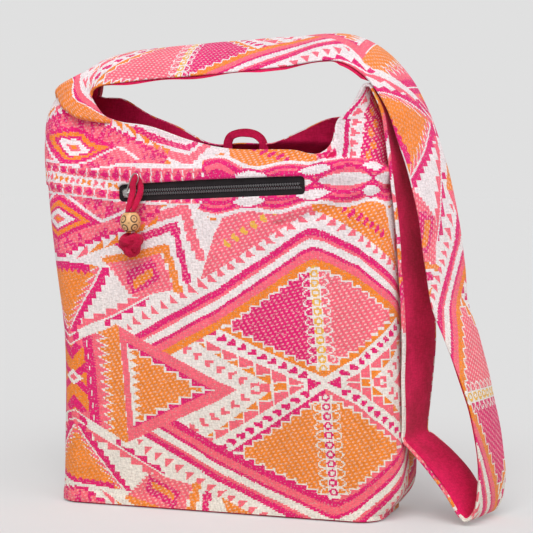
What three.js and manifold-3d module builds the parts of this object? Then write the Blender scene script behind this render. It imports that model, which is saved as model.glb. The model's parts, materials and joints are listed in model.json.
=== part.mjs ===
// Woven shoulder bag: a jacquard body with two horns, a long looped strap, a crimson lining
// and a zipped front pocket with a beaded puller. Millimetres, +Z up. The origin is the centre
// of the base underside, +X is the wearer's right seen from the front, +Y is the back.
import * as THREE from "three";
import { mergeVertices } from "three/addons/utils/BufferGeometryUtils.js";
import Module from "manifold-3d";

const wasm = await Module();
wasm.setup();

// Driving dimensions: cloth
const SEWN_GAP = 0.3;
const LAYER_GAP = 0.5;
const COVER_THICK = 2;
const LINING_THICK = 1;
const BASE_WIDTH = 362;
const BASE_DEPTH = 100;
const BASE_THICK = 2.4;
const PIPING_DIAMETER = 3.4;
const FRONT_FACE = 48;
const CORNER_RADIUS = 24;
const LEFT_FOOT_RADIUS = 12;
const RIGHT_FOOT_RADIUS = 38;
const HORN_RADIUS = 31;
const PANEL_BULGE = 5;
const BULGE_END_DROP = 77;
const SHOULDER_HEIGHT = 345;
const RIM_RISE = 22;
const BACK_RIM_RISE = 7;
const FRONT_LIP = 18;
const BACK_LIP = 15;
const LEFT_HORN_RISE = 37;
const LEFT_HORN_BACK_RISE = 20;
const RIGHT_HORN_RISE = 33;
const STRAP_WIDTH = 64;
const STRAP_RISE = 101;

// Driving dimensions: zip pocket
const ZIP_CENTRE_X = -10;
const ZIP_DROP = 19.5;
const ZIP_TILT = THREE.MathUtils.degToRad(2.3);
const SLOT_LENGTH = 192;
const SLOT_HEIGHT = 17;
const TAPE_MARGIN = 6;
const TAPE_THICK = 0.8;
const TAPE_GAP = 1.1;
const COIL_WIDTH = 2.4;
const COIL_THICK = 2;
const COIL_END_MARGIN = 1;
const POCKET_DROP = 150;
const POCKET_DEPTH = 4.6;
const POCKET_WALL = 0.8;

// Driving dimensions: slider and puller
const SLIDER_LENGTH = 11;
const SLIDER_WIDTH = 8.6;
const SLIDER_PLATE = 1.4;
const SLIDER_WEB = 0.5;
const SLIDER_END_GAP = 2;
const BRIDGE_LENGTH = 7.6;
const BRIDGE_WIDTH = 3;
const BRIDGE_BAR = 1.3;
const WIRE_DIAMETER = 1.3;
const WIRE_CLEARANCE = 0.45;
const PULLER_LEAN = THREE.MathUtils.degToRad(27);
const CORD_DIAMETER = 4.4;
const CORD_PAIR_GAP = 0.4;
const CORD_SLACK = 0.8;
const CORD_TWIST = THREE.MathUtils.degToRad(-70);
const BEAD_DIAMETER = 21;
const BEAD_HEIGHT = 19.5;
const BORE_CLEARANCE = 0.6;
const BEAD_DROP = 48.5;
const PENDANT_SWAY = 6;
const PENDANT_STANDOFF = 5;
const KNOT_DIAMETER = 25;
const KNOT_HEIGHT = 24;

// Driving dimensions: closing loop
const LOOP_SPAN = 38;
const LOOP_RISE = 15.5;
const LOOP_BAND = 9;
const LOOP_THICK = 2.6;
const LOOP_CENTRE_X = 5;

const HALF_WIDTH = BASE_WIDTH / 2;
const WALL_BOTTOM = BASE_THICK + PIPING_DIAMETER + 2 * SEWN_GAP;
const BULGE_TOP = SHOULDER_HEIGHT - BULGE_END_DROP;
const RIM_HEIGHT = SHOULDER_HEIGHT + RIM_RISE;
const LEFT_HORN_HEIGHT = RIM_HEIGHT + LEFT_HORN_RISE;
const RIGHT_HORN_HEIGHT = RIM_HEIGHT + RIGHT_HORN_RISE;
const TOP_HEIGHT = RIM_HEIGHT + STRAP_RISE;

const cotton = (name, color) => new THREE.MeshStandardMaterial({ name, color, roughness: 0.9 });
const JACQUARD = cotton("jacquard", 0xe8788c);
const CRIMSON = cotton("crimson_cotton", 0xb81840);
const TAPE = cotton("zip_tape", 0x2c282a);
const hard = (name, color, roughness, metalness = 0) =>
  new THREE.MeshStandardMaterial({ name, color, roughness, metalness });
const COIL = hard("coil", 0x1c1a1c, 0.5);
const METAL = hard("metal", 0xc8c8cc, 0.3, 1);
const WOOD = hard("wood", 0xe0ae78, 0.6);

const bag = new THREE.Group();

function addMesh(parent, name, geometry, material) {
  const mesh = new THREE.Mesh(geometry, material);
  mesh.name = name;
  parent.add(mesh);
  return mesh;
}

// A smooth value along one coordinate, through hand-set knots.
function profile(knots) {
  const curve = new THREE.CubicInterpolant(
    knots.map((knot) => knot[0]),
    knots.map((knot) => knot[1]),
    1,
  );
  return (at) => curve.evaluate(at)[0];
}

const ramp = (at, from, to) => THREE.MathUtils.clamp((at - from) / (to - from), 0, 1);

// How far each side wall leans out from the base corner, by height.
const leftLean = profile([
  [0, 0],
  [0.15 * SHOULDER_HEIGHT, -1],
  [0.5 * SHOULDER_HEIGHT, 1],
  [0.72 * SHOULDER_HEIGHT, 11],
  [SHOULDER_HEIGHT, 23],
  [0.5 * (SHOULDER_HEIGHT + LEFT_HORN_HEIGHT), 28],
  [LEFT_HORN_HEIGHT, 29],
  [LEFT_HORN_HEIGHT + LEFT_HORN_BACK_RISE, 17],
]);
const rightLean = profile([
  [0, 0],
  [0.43 * SHOULDER_HEIGHT, -1],
  [0.87 * SHOULDER_HEIGHT, -8],
  [RIM_HEIGHT, -17],
  [RIGHT_HORN_HEIGHT, -25],
]);

// Places along the front and back walls, from the right corner (1) to the left one (0), and the
// rim's rise over its middle at each of them.
const WALL_STATIONS = [1, 0.965, 0.935, 0.9, 0.8, 0.69, 0.58, 0.47, 0.36, 0.27, 0.19, 0.12, 0.06, 0];
const frontRim = profile([
  [0, LEFT_HORN_RISE],
  [0.12, LEFT_HORN_RISE],
  [0.19, 0.8 * LEFT_HORN_RISE],
  [0.3, 0.65 * LEFT_HORN_RISE],
  [0.44, 0.24 * LEFT_HORN_RISE],
  [0.58, 0],
  [0.8, -2],
  [0.9, -5],
  [0.935, 0.15 * RIGHT_HORN_RISE],
  [0.965, 0.75 * RIGHT_HORN_RISE],
  [1, RIGHT_HORN_RISE],
]);
const backRim = profile([
  [0, LEFT_HORN_RISE + LEFT_HORN_BACK_RISE],
  [0.06, LEFT_HORN_RISE + LEFT_HORN_BACK_RISE],
  [0.12, LEFT_HORN_RISE + 0.9 * LEFT_HORN_BACK_RISE],
  [0.27, LEFT_HORN_RISE - 1],
  [0.36, 0.68 * LEFT_HORN_RISE],
  [0.47, BACK_RIM_RISE],
  [0.58, BACK_RIM_RISE],
  [0.69, BACK_RIM_RISE],
  [0.8, 0.6 * RIGHT_HORN_RISE],
  [0.9, 0.95 * RIGHT_HORN_RISE],
  [1, RIGHT_HORN_RISE],
]);

// The wall's outline is a rounded rectangle. A station holds the share of the way along X and Y
// between corner centres, and the outward direction there. The walk starts at the front edge of
// the right side and goes by the back, the left side and the front.
const SIDE_STEPS = 2;
const CORNER_STEPS = 3;

function cornerStations(along, across, fromAngle) {
  const stations = [];
  for (let step = 0; step <= CORNER_STEPS; step++) {
    const angle = fromAngle + (step / CORNER_STEPS) * (Math.PI / 2);
    stations.push({ along, across, nx: Math.cos(angle), ny: Math.sin(angle) });
  }
  return stations;
}

function sideStations(along, facing) {
  const first = cornerStations(along, -facing, facing > 0 ? -Math.PI / 2 : Math.PI / 2);
  const last = cornerStations(along, facing, facing > 0 ? 0 : Math.PI);
  const middle = [];
  for (let step = 1; step < SIDE_STEPS; step++) {
    middle.push({ along, across: facing * ((2 * step) / SIDE_STEPS - 1), nx: facing, ny: 0 });
  }
  return [...first, ...middle, ...last];
}

const RIGHT_SIDE = sideStations(1, 1);
const LEFT_SIDE = sideStations(0, -1);
const wallStations = (facing) =>
  WALL_STATIONS.slice(1, -1).map((along) => ({ along, across: facing, nx: 0, ny: facing }));
const OUTLINE = [...RIGHT_SIDE, ...wallStations(1), ...LEFT_SIDE, ...wallStations(-1).reverse()];

const straightDepth = (z) => THREE.MathUtils.lerp(BASE_DEPTH / 2, FRONT_FACE, ramp(z, 0, BULGE_TOP));
const panelBulge = (z) => PANEL_BULGE * Math.pow(Math.sin(Math.PI * ramp(z, 0, BULGE_TOP)), 2);

// Half depth of the front (-1) or back (1) wall at a height, and between the corners.
function halfDepth(station, z) {
  const straight = straightDepth(z);
  const horn = ramp(z, SHOULDER_HEIGHT, RIGHT_HORN_HEIGHT);
  const ends = THREE.MathUtils.lerp(straight, HORN_RADIUS + 1, horn);
  const lip = station.across < 0 ? FRONT_LIP : BACK_LIP;
  const lean = Math.pow(ramp(z, SHOULDER_HEIGHT, RIM_HEIGHT + BACK_RIM_RISE), 1.4);
  const middle = THREE.MathUtils.lerp(straight + panelBulge(z), lip, lean);
  const plateau = 1 - Math.pow(Math.abs(2 * station.along - 1), 3);
  return THREE.MathUtils.lerp(ends, middle, plateau);
}

// How far a rounded foot draws a side wall in at a height.
function footInset(z, radius) {
  const below = Math.max(0, radius - z);
  return radius - Math.sqrt(radius ** 2 - below ** 2);
}

function wallPoint(station, z, inset, frontInset = inset) {
  const radius = THREE.MathUtils.lerp(CORNER_RADIUS, HORN_RADIUS, ramp(z, 0, RIGHT_HORN_HEIGHT)) - inset;
  const left = -HALF_WIDTH - leftLean(z) + footInset(z, LEFT_FOOT_RADIUS) + inset + radius;
  const right = HALF_WIDTH + rightLean(z) - footInset(z, RIGHT_FOOT_RADIUS) - inset - radius;
  const wallInset = THREE.MathUtils.lerp(inset, frontInset, Math.max(0, -station.across));
  const depth = halfDepth(station, z) - wallInset - radius;
  return new THREE.Vector3(
    THREE.MathUtils.lerp(left, right, station.along) + station.nx * radius,
    station.across * depth + station.ny * radius,
    z,
  );
}

function rimHeight(station) {
  const front = RIM_HEIGHT + frontRim(station.along);
  const back = RIM_HEIGHT + backRim(station.along);
  return THREE.MathUtils.lerp(front, back, (station.ny + 1) / 2);
}

const LOWER_SHARES = [0.04, 0.075, 0.115, 0.22, 0.41, 0.6, 0.8];
const UPPER_ROWS = 6;
const LAST_ROW = LOWER_SHARES.length + 1 + UPPER_ROWS;

function rowHeights(station, bottom) {
  const heights = [bottom, ...LOWER_SHARES.map((share) => share * SHOULDER_HEIGHT)];
  for (let row = 0; row <= UPPER_ROWS; row++) {
    heights.push(THREE.MathUtils.lerp(SHOULDER_HEIGHT, rimHeight(station), row / UPPER_ROWS));
  }
  return heights;
}

// Closed solids from rings of points: each ring joins the next, and the ends close as asked. Each
// four-sided patch is split along its shorter diagonal, so that layers follow each other.
function ringSolid(rings, ends) {
  const count = rings[0].length;
  const positions = rings.flat().flatMap((point) => point.toArray());
  const index = [];
  const joined = ends === "joined" ? rings.length : rings.length - 1;
  for (let ring = 0; ring < joined; ring++) {
    const next = (ring + 1) % rings.length;
    for (let step = 0; step < count; step++) {
      const a = ring * count + step;
      const b = ring * count + ((step + 1) % count);
      const c = next * count + ((step + 1) % count);
      const d = next * count + step;
      const rising = rings[ring][step].distanceTo(rings[next][(step + 1) % count]);
      const falling = rings[ring][(step + 1) % count].distanceTo(rings[next][step]);
      index.push(...(rising < falling ? [a, b, c, a, c, d] : [a, b, d, b, c, d]));
    }
  }
  if (ends !== "joined") {
    closeRing(rings, 0, positions, index);
    closeRing(rings, rings.length - 1, positions, index);
  }
  const geometry = new THREE.BufferGeometry();
  geometry.setAttribute("position", new THREE.Float32BufferAttribute(positions, 3));
  geometry.setIndex(index);
  geometry.computeVertexNormals();
  return geometry;
}

// A fan from the ring's centre closes an end whose outline that centre can see.
function closeRing(rings, ring, positions, index) {
  const count = rings[ring].length;
  const centre = rings[ring].reduce((sum, point) => sum.add(point), new THREE.Vector3()).divideScalar(count);
  const hub = positions.length / 3;
  positions.push(...centre.toArray());
  for (let step = 0; step < count; step++) {
    const a = ring * count + step;
    const b = ring * count + ((step + 1) % count);
    index.push(...(ring === 0 ? [hub, b, a] : [hub, a, b]));
  }
}

// Joining and cutting closed solids
function toManifold(geometry) {
  const bare = geometry.clone();
  bare.deleteAttribute("normal");
  bare.deleteAttribute("uv");
  const merged = mergeVertices(bare, 1e-4);
  return new wasm.Manifold(
    new wasm.Mesh({
      numProp: 3,
      vertProperties: new Float32Array(merged.attributes.position.array),
      triVerts: new Uint32Array(merged.index.array),
    }),
  );
}

function toGeometry(solid) {
  const mesh = solid.getMesh();
  const geometry = new THREE.BufferGeometry();
  geometry.setAttribute("position", new THREE.Float32BufferAttribute(mesh.vertProperties, 3));
  geometry.setIndex(new THREE.Uint32BufferAttribute(mesh.triVerts, 1));
  geometry.computeVertexNormals();
  return geometry;
}

function boxAt(sizeX, sizeY, sizeZ, x, y, z) {
  return new THREE.BoxGeometry(sizeX, sizeY, sizeZ).translate(x, y, z);
}

// The zip's own frame: X along the zip, Y into the bag from the front wall's face, Z across it.
const zip = new THREE.Group();
zip.position.set(ZIP_CENTRE_X, -FRONT_FACE, SHOULDER_HEIGHT - ZIP_DROP);
zip.rotation.y = -ZIP_TILT;
zip.updateMatrix();
bag.add(zip);

// Jacquard wall: one tube with an open bottom and mouth, and the slot for the zip
function buildBodyShell() {
  const rows = OUTLINE.map((station) => rowHeights(station, WALL_BOTTOM));
  const ringAt = (row, inset) => OUTLINE.map((station, i) => wallPoint(station, rows[i][row], inset));
  const rings = [];
  for (let row = 0; row <= LAST_ROW; row++) {
    rings.push(ringAt(row, 0));
  }
  for (let row = LAST_ROW; row >= 0; row--) {
    rings.push(ringAt(row, COVER_THICK));
  }
  const slot = boxAt(SLOT_LENGTH, 4 * COVER_THICK, SLOT_HEIGHT, 0, 0, 0).applyMatrix4(zip.matrix);
  const wall = toManifold(ringSolid(rings, "joined"));
  addMesh(bag, "body_shell", toGeometry(wall.subtract(toManifold(slot))), JACQUARD);
}

// Lining: a cup of thin cotton with its own floor, slack behind the pocket
const LINING_INSET = COVER_THICK + SEWN_GAP;
const POCKET_INSET = COVER_THICK + TAPE_THICK + POCKET_DEPTH + 3 * SEWN_GAP;
const LINING_FLOOR = BASE_THICK + SEWN_GAP;

function liningRing(rows, row, depth) {
  return OUTLINE.map((station, i) => {
    const z = rows[i][row];
    const slack = 1 - ramp(z, SHOULDER_HEIGHT, rimHeight(station));
    const behindPocket = POCKET_INSET + straightDepth(z) + panelBulge(z) - FRONT_FACE;
    const frontInset = THREE.MathUtils.lerp(LINING_INSET, behindPocket, slack);
    return wallPoint(station, z, LINING_INSET + depth, frontInset + depth);
  });
}

function buildLining() {
  const outer = OUTLINE.map((station) => rowHeights(station, LINING_FLOOR));
  const inner = OUTLINE.map((station) => rowHeights(station, LINING_FLOOR + LINING_THICK));
  const clearOfPiping = PIPING_DIAMETER;
  const rings = [];
  for (let row = 0; row <= LAST_ROW; row++) {
    rings.push(liningRing(outer, row, row === 0 ? clearOfPiping : 0));
  }
  for (let row = LAST_ROW; row >= 0; row--) {
    rings.push(liningRing(inner, row, row === 0 ? clearOfPiping : LINING_THICK));
  }
  addMesh(bag, "body_lining", ringSolid(rings, "closed"), CRIMSON);
}

// Base panel and the corded edge sewn round it
function buildBase() {
  const outline = (z, inset) => OUTLINE.map((station) => wallPoint(station, WALL_BOTTOM, inset).setZ(z));
  addMesh(bag, "base_panel", ringSolid([outline(0, 0), outline(BASE_THICK, 0)], "closed"), CRIMSON);

  const radius = PIPING_DIAMETER / 2;
  const centreZ = BASE_THICK + SEWN_GAP + radius;
  const sides = 6;
  const rings = [];
  for (let side = 0; side < sides; side++) {
    const angle = (side / sides) * 2 * Math.PI;
    rings.push(outline(centreZ + radius * Math.sin(angle), radius / 2 - radius * Math.cos(angle)));
  }
  addMesh(bag, "base_piping", ringSolid(rings, "joined"), CRIMSON);
}

// Strap: one untwisted loop from the right horn, folded over outwards, down beside the body, round
// at the floor, up and over to the left horn. A stop holds the strap's middle line, the turn and
// tilt of its width in degrees, and how far its edges bend in.
const HORN_PEAK = RIGHT_HORN_HEIGHT + 28;
const FOLD_RADIUS = 5.5;
const FOLD_X = HALF_WIDTH - 33;
const FOLD_STEPS = 5;

function foldStops() {
  const stops = [];
  for (let step = 0; step <= FOLD_STEPS; step++) {
    const angle = THREE.MathUtils.degToRad(200 - (180 * step) / FOLD_STEPS);
    const x = FOLD_X + FOLD_RADIUS * Math.cos(angle);
    const z = HORN_PEAK - FOLD_RADIUS + FOLD_RADIUS * Math.sin(angle);
    stops.push([x, 0, z, 0, 0, step === 0 ? 3 : 0]);
  }
  return stops;
}

const STRAP_STOPS = [
  [HALF_WIDTH - 28.5, 0, RIGHT_HORN_HEIGHT + 10, 0, 0, 18],
  ...foldStops(),
  [HALF_WIDTH - 15, 0, RIGHT_HORN_HEIGHT + 3, 6, 0, 0],
  [HALF_WIDTH - 8, 0, RIM_HEIGHT + 5, 9, 0, 0],
  [HALF_WIDTH + 2, 0, 0.845 * RIM_HEIGHT, 12, 0, 0],
  [HALF_WIDTH + 9, 0, 0.668 * RIM_HEIGHT, 15, 0, 0],
  [HALF_WIDTH + 13, 0, 0.504 * RIM_HEIGHT, 17, 0, 0],
  [HALF_WIDTH + 11, 0, 0.341 * RIM_HEIGHT, 13, 0, 0],
  [HALF_WIDTH + 10, 0, 90, 9, 0, 0],
  [HALF_WIDTH + 17, 0, 73, 9, 4, 0],
  [HALF_WIDTH + 36, 0, 55, 9, 8, 0],
  [HALF_WIDTH + 53, 0, 35, 12, 8, 0],
  [HALF_WIDTH + 63, 0, 17, 14, 6, 0],
  [HALF_WIDTH + 73, 0, 8, 14, 0, 0],
  [HALF_WIDTH + 84, 0, 17, 12, 0, 0],
  [HALF_WIDTH + 86, 0, 42, 12, 0, 0],
  [HALF_WIDTH + 84, 0, 72, 10, 0, 0],
  [HALF_WIDTH + 78, 0, 0.308 * RIM_HEIGHT, 10, 0, 2],
  [HALF_WIDTH + 69, 0, 0.4 * RIM_HEIGHT, 14, 0, 3],
  [HALF_WIDTH + 58, 0, 0.49 * RIM_HEIGHT, 18, 0, 3],
  [HALF_WIDTH + 46, 0, 0.572 * RIM_HEIGHT, 20, 0, 2],
  [HALF_WIDTH + 39, 0, 0.687 * RIM_HEIGHT, 23, 0, 1],
  [HALF_WIDTH + 32, 0, 0.812 * RIM_HEIGHT, 23, 0, 1],
  [HALF_WIDTH + 23, 0, 0.926 * RIM_HEIGHT, 24, 0, 2],
  [HALF_WIDTH + 13, -2, RIM_HEIGHT + 9, 24, 0, 3],
  [HALF_WIDTH + 4, -4, TOP_HEIGHT - 63, 23, 3, 4],
  [HALF_WIDTH - 9, -6, TOP_HEIGHT - 37, 19, 12, 5],
  [HALF_WIDTH - 30, -6, TOP_HEIGHT - 14, 8, 24, 5],
  [HALF_WIDTH - 65, -4, TOP_HEIGHT + 2, 0, 27, 4],
  [58, 0, TOP_HEIGHT, 0, 31, 4],
  [-27, 0, TOP_HEIGHT - 5, 0, 34, 4],
  [-HALF_WIDTH + 79, 0, TOP_HEIGHT - 8, 0, 34, 5],
  [-HALF_WIDTH + 40, 0, TOP_HEIGHT - 10, 0, 33, 8],
  [-HALF_WIDTH + 8, 0, LEFT_HORN_HEIGHT + 46, 0, 29, 14],
  [-HALF_WIDTH - 12, 0, LEFT_HORN_HEIGHT + 27, 0, 23, 23],
];
const STOPS_EVENED = 2;
const HORN_BLEND_RINGS = 4;

const HORN_SEAM = new THREE.Vector3(0, 0, SEWN_GAP);
const LAYER_SEAM = COVER_THICK + LAYER_GAP / 2;

// The strap's end at a horn, by how far it lies out from the seam between cover and lining
function hornRing(side, outward) {
  return side.map((station) => wallPoint(station, rimHeight(station), LAYER_SEAM - outward).add(HORN_SEAM));
}

const rightHornRing = (outward) => hornRing(RIGHT_SIDE, outward);
const leftHornRing = (outward) => hornRing([...LEFT_SIDE].reverse(), outward);

function strapSurface() {
  const rightRing = rightHornRing(0);
  const leftRing = leftHornRing(0);
  const crest = (ring) => ring[(ring.length - 1) / 2];
  const stops = STRAP_STOPS.map((stop) => new THREE.Vector3(...stop.slice(0, 3)));
  const path = [crest(rightRing), ...stops, crest(leftRing)];
  const startPose = new THREE.Vector3(0, 0, HORN_RADIUS);
  const endPose = new THREE.Vector3(0, 17, HORN_RADIUS);
  const poses = [startPose, ...STRAP_STOPS.map((stop) => new THREE.Vector3(...stop.slice(3))), endPose];
  const route = new THREE.CatmullRomCurve3(path);
  const attitude = new THREE.CatmullRomCurve3(poses);
  const rings = (path.length - 1) * STOPS_EVENED;
  const surface = [];
  for (let ring = 0; ring <= rings; ring++) {
    const at = ring / rings;
    const centre = route.getPoint(at);
    const pose = attitude.getPoint(at);
    const turn = THREE.MathUtils.degToRad(pose.x);
    const tilt = THREE.MathUtils.degToRad(pose.y);
    const across = new THREE.Vector3(
      Math.sin(turn) * Math.cos(tilt),
      Math.cos(turn) * Math.cos(tilt),
      Math.sin(tilt),
    );
    const outward = across.clone().cross(route.getTangent(at)).normalize();
    const points = RIGHT_SIDE.map((_, step) => {
      const share = step / (RIGHT_SIDE.length - 1) - 0.5;
      const bend = -pose.z * 4 * share * share;
      return centre.clone().addScaledVector(across, share * STRAP_WIDTH).addScaledVector(outward, bend);
    });
    const fromStart = 1 - ramp(ring, 0, HORN_BLEND_RINGS);
    const fromEnd = 1 - ramp(rings - ring, 0, HORN_BLEND_RINGS);
    points.forEach((point, step) => {
      const moved = (source) => source[step].clone().sub(crest(source)).add(centre);
      point.lerp(moved(rightRing), fromStart).lerp(moved(leftRing), fromEnd);
    });
    surface.push(points);
  }
  return surface;
}

function surfaceNormal(surface, ring, step) {
  const rings = surface.length - 1;
  const steps = surface[0].length - 1;
  const before = surface[Math.max(0, ring - 1)][step];
  const after = surface[Math.min(rings, ring + 1)][step];
  const front = surface[ring][Math.max(0, step - 1)];
  const back = surface[ring][Math.min(steps, step + 1)];
  const along = after.clone().sub(before);
  return back.clone().sub(front).cross(along).normalize();
}

// One cloth layer between two offsets from the strap's middle surface
function strapLayer(surface, low, high) {
  const rings = surface.map((points, ring) => {
    const offset = (amount) =>
      points.map((point, step) => point.clone().addScaledVector(surfaceNormal(surface, ring, step), amount));
    return [...offset(high), ...offset(low).reverse()];
  });
  rings[0] = [...rightHornRing(high), ...rightHornRing(low).reverse()];
  rings[rings.length - 1] = [...leftHornRing(high), ...leftHornRing(low).reverse()];
  return stripSolid(rings);
}

// A strip's end is closed by pairing the two faces' points across its thickness.
function stripSolid(rings) {
  const geometry = ringSolid(rings, "joined");
  const count = rings[0].length;
  const wrap = 6 * count;
  const index = Array.from(geometry.index.array).slice(0, -wrap);
  const endRing = (rings.length - 1) * count;
  for (let step = 0; step < count / 2 - 1; step++) {
    const quad = [step, step + 1, count - 2 - step, count - 1 - step];
    const [a, b, c, d] = quad;
    index.push(a, c, b, a, d, c);
    const [e, f, g, h] = quad.map((corner) => corner + endRing);
    index.push(e, f, g, e, g, h);
  }
  geometry.setIndex(index);
  geometry.computeVertexNormals();
  return geometry;
}

function buildStrap() {
  const surface = strapSurface();
  const half = LAYER_GAP / 2;
  addMesh(bag, "strap_cover", strapLayer(surface, half, half + COVER_THICK), JACQUARD);
  addMesh(bag, "strap_lining", strapLayer(surface, -half - LINING_THICK, -half), CRIMSON);
}

// Closing loop: a flat folded band that stands on the back rim
function buildClosingLoop() {
  const outer = LOOP_SPAN / 2;
  const inner = outer - LOOP_BAND;
  const arch = new THREE.Shape();
  arch.moveTo(outer, 0);
  arch.absellipse(0, 0, outer, LOOP_RISE, 0, Math.PI, false);
  arch.lineTo(-inner, 0);
  arch.absellipse(0, 0, inner, LOOP_RISE - LOOP_BAND, Math.PI, 0, true);
  arch.closePath();
  const band = new THREE.ExtrudeGeometry(arch, { depth: LOOP_THICK, bevelEnabled: false, curveSegments: 10 });
  const loop = addMesh(bag, "closing_loop", band, CRIMSON);
  loop.rotation.x = Math.PI / 2;
  const rimMiddle = BACK_LIP - COVER_THICK / 2;
  const standing = RIM_HEIGHT + BACK_RIM_RISE + SEWN_GAP;
  loop.position.set(LOOP_CENTRE_X, rimMiddle + LOOP_THICK / 2, standing);
}

// Zip: tapes behind the slot, two coil rows on them, and the pocket pouch behind
const TAPE_FACE = COVER_THICK + SEWN_GAP;
const TAPE_BACK = TAPE_FACE + TAPE_THICK;
const TAPE_LENGTH = SLOT_LENGTH + 2 * TAPE_MARGIN;
const TAPE_REACH = SLOT_HEIGHT / 2 + TAPE_MARGIN;

function buildZip() {
  const tapeWidth = TAPE_REACH - TAPE_GAP / 2;
  const coilLength = SLOT_LENGTH - 2 * COIL_END_MARGIN;
  const coilFront = TAPE_FACE - SEWN_GAP - COIL_THICK;
  for (const [name, side] of [["upper", 1], ["lower", -1]]) {
    const tapeZ = side * (TAPE_GAP / 2 + tapeWidth / 2);
    const tapeY = TAPE_FACE + TAPE_THICK / 2;
    addMesh(zip, `zip_tape_${name}`, boxAt(TAPE_LENGTH, TAPE_THICK, tapeWidth, 0, tapeY, tapeZ), TAPE);

    const section = new THREE.Shape();
    section.moveTo(0, 0);
    section.lineTo(COIL_WIDTH, 0);
    section.absellipse(COIL_WIDTH / 2, 0, COIL_WIDTH / 2, COIL_THICK, 0, Math.PI, false);
    const sweep = { depth: coilLength, bevelEnabled: false, curveSegments: 5 };
    const coil = new THREE.ExtrudeGeometry(section, sweep);
    coil.rotateY(Math.PI / 2);
    coil.rotateX(Math.PI);
    coil.translate(-coilLength / 2, coilFront + COIL_THICK, 0);
    const coilEdge = side > 0 ? TAPE_GAP / 2 : -TAPE_GAP / 2 - COIL_WIDTH;
    addMesh(zip, `zip_coil_${name}`, coil, COIL).position.z = coilEdge;
  }
}

function buildPocketBag() {
  const top = TAPE_REACH;
  const frontTop = -TAPE_REACH - SEWN_GAP;
  const height = POCKET_DROP + top;
  const front = TAPE_BACK + SEWN_GAP;
  const centreY = front + POCKET_DEPTH / 2;
  const pouch = boxAt(TAPE_LENGTH, POCKET_DEPTH, height, 0, centreY, top - height / 2);
  const hollowDepth = POCKET_DEPTH - 2 * POCKET_WALL;
  const hollowWidth = TAPE_LENGTH - 2 * POCKET_WALL;
  const hollow = boxAt(hollowWidth, hollowDepth, height, 0, centreY, top - height / 2 + POCKET_WALL);
  const entryHeight = top - frontTop;
  const entryDepth = POCKET_DEPTH - POCKET_WALL;
  const entryY = front + entryDepth / 2 - SEWN_GAP;
  const entryZ = top - entryHeight / 2 + SEWN_GAP;
  const entry = boxAt(2 * TAPE_LENGTH, entryDepth, entryHeight, 0, entryY, entryZ);
  const solid = toManifold(pouch).subtract(toManifold(hollow)).subtract(toManifold(entry));
  addMesh(zip, "pocket_bag", toGeometry(solid), CRIMSON);
}

// Slider: two plates joined by a web that runs between the coil rows, and a bridge for the puller
const SLIDER_X = -SLOT_LENGTH / 2 + SLIDER_END_GAP + SLIDER_LENGTH / 2;
const PLATE_FRONT = -SEWN_GAP - SLIDER_PLATE;
const WIRE_Y = PLATE_FRONT - WIRE_CLEARANCE - WIRE_DIAMETER / 2;

function buildSlider() {
  const rearPlate = TAPE_BACK + SEWN_GAP;
  const webDepth = rearPlate + SEWN_GAP;
  const bridgeReach = WIRE_DIAMETER + 2 * WIRE_CLEARANCE + BRIDGE_BAR;
  const bridge = boxAt(BRIDGE_LENGTH, bridgeReach, BRIDGE_WIDTH, 0, PLATE_FRONT - bridgeReach / 2, 0);
  const eyeLength = BRIDGE_LENGTH - 2 * BRIDGE_BAR;
  const eyeDepth = bridgeReach - BRIDGE_BAR;
  const eye = boxAt(eyeLength, eyeDepth, 2 * BRIDGE_WIDTH, 0, PLATE_FRONT - eyeDepth / 2, 0);
  const front = boxAt(SLIDER_LENGTH, SLIDER_PLATE, SLIDER_WIDTH, 0, PLATE_FRONT + SLIDER_PLATE / 2, 0);
  const rear = boxAt(SLIDER_LENGTH, SLIDER_PLATE, SLIDER_WIDTH, 0, rearPlate + SLIDER_PLATE / 2, 0);
  const web = boxAt(SLIDER_LENGTH / 2, webDepth, SLIDER_WEB, 0, rearPlate / 2 - SEWN_GAP / 2, 0);
  const solid = toManifold(bridge)
    .subtract(toManifold(eye))
    .add(toManifold(front))
    .add(toManifold(web))
    .add(toManifold(rear));
  addMesh(zip, "zip_slider", toGeometry(solid), METAL).position.x = SLIDER_X;
}

// Puller: a bent wire teardrop through the bridge, leaning out from the wall
const puller = new THREE.Group();
puller.position.set(SLIDER_X, WIRE_Y, 0);
puller.rotation.z = -PULLER_LEAN;
zip.add(puller);

const WIRE_POINTS = [
  [0, -3.2],
  [0, 0],
  [0, 3.2],
  [3.5, 9],
  [8, 15.5],
  [12, 19],
  [17, 18.5],
  [18.5, 14],
  [14, 7],
  [8, -1],
  [3.6, -4.6],
];
const WIRE_PATH = new THREE.CatmullRomCurve3(WIRE_POINTS.map(([x, z]) => new THREE.Vector3(x, 0, z)), true);
const WIRE_TIP_SHARE = 0.51;

function buildPuller() {
  const wire = new THREE.TubeGeometry(WIRE_PATH, 40, WIRE_DIAMETER / 2, 7, true);
  addMesh(puller, "zip_puller", toGeometry(toManifold(wire)), METAL);
}

// Pendant: a cord doubled over the wire's tip, through a bead and into a ball knot
const pendant = new THREE.Group();
zip.add(pendant);

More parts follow.
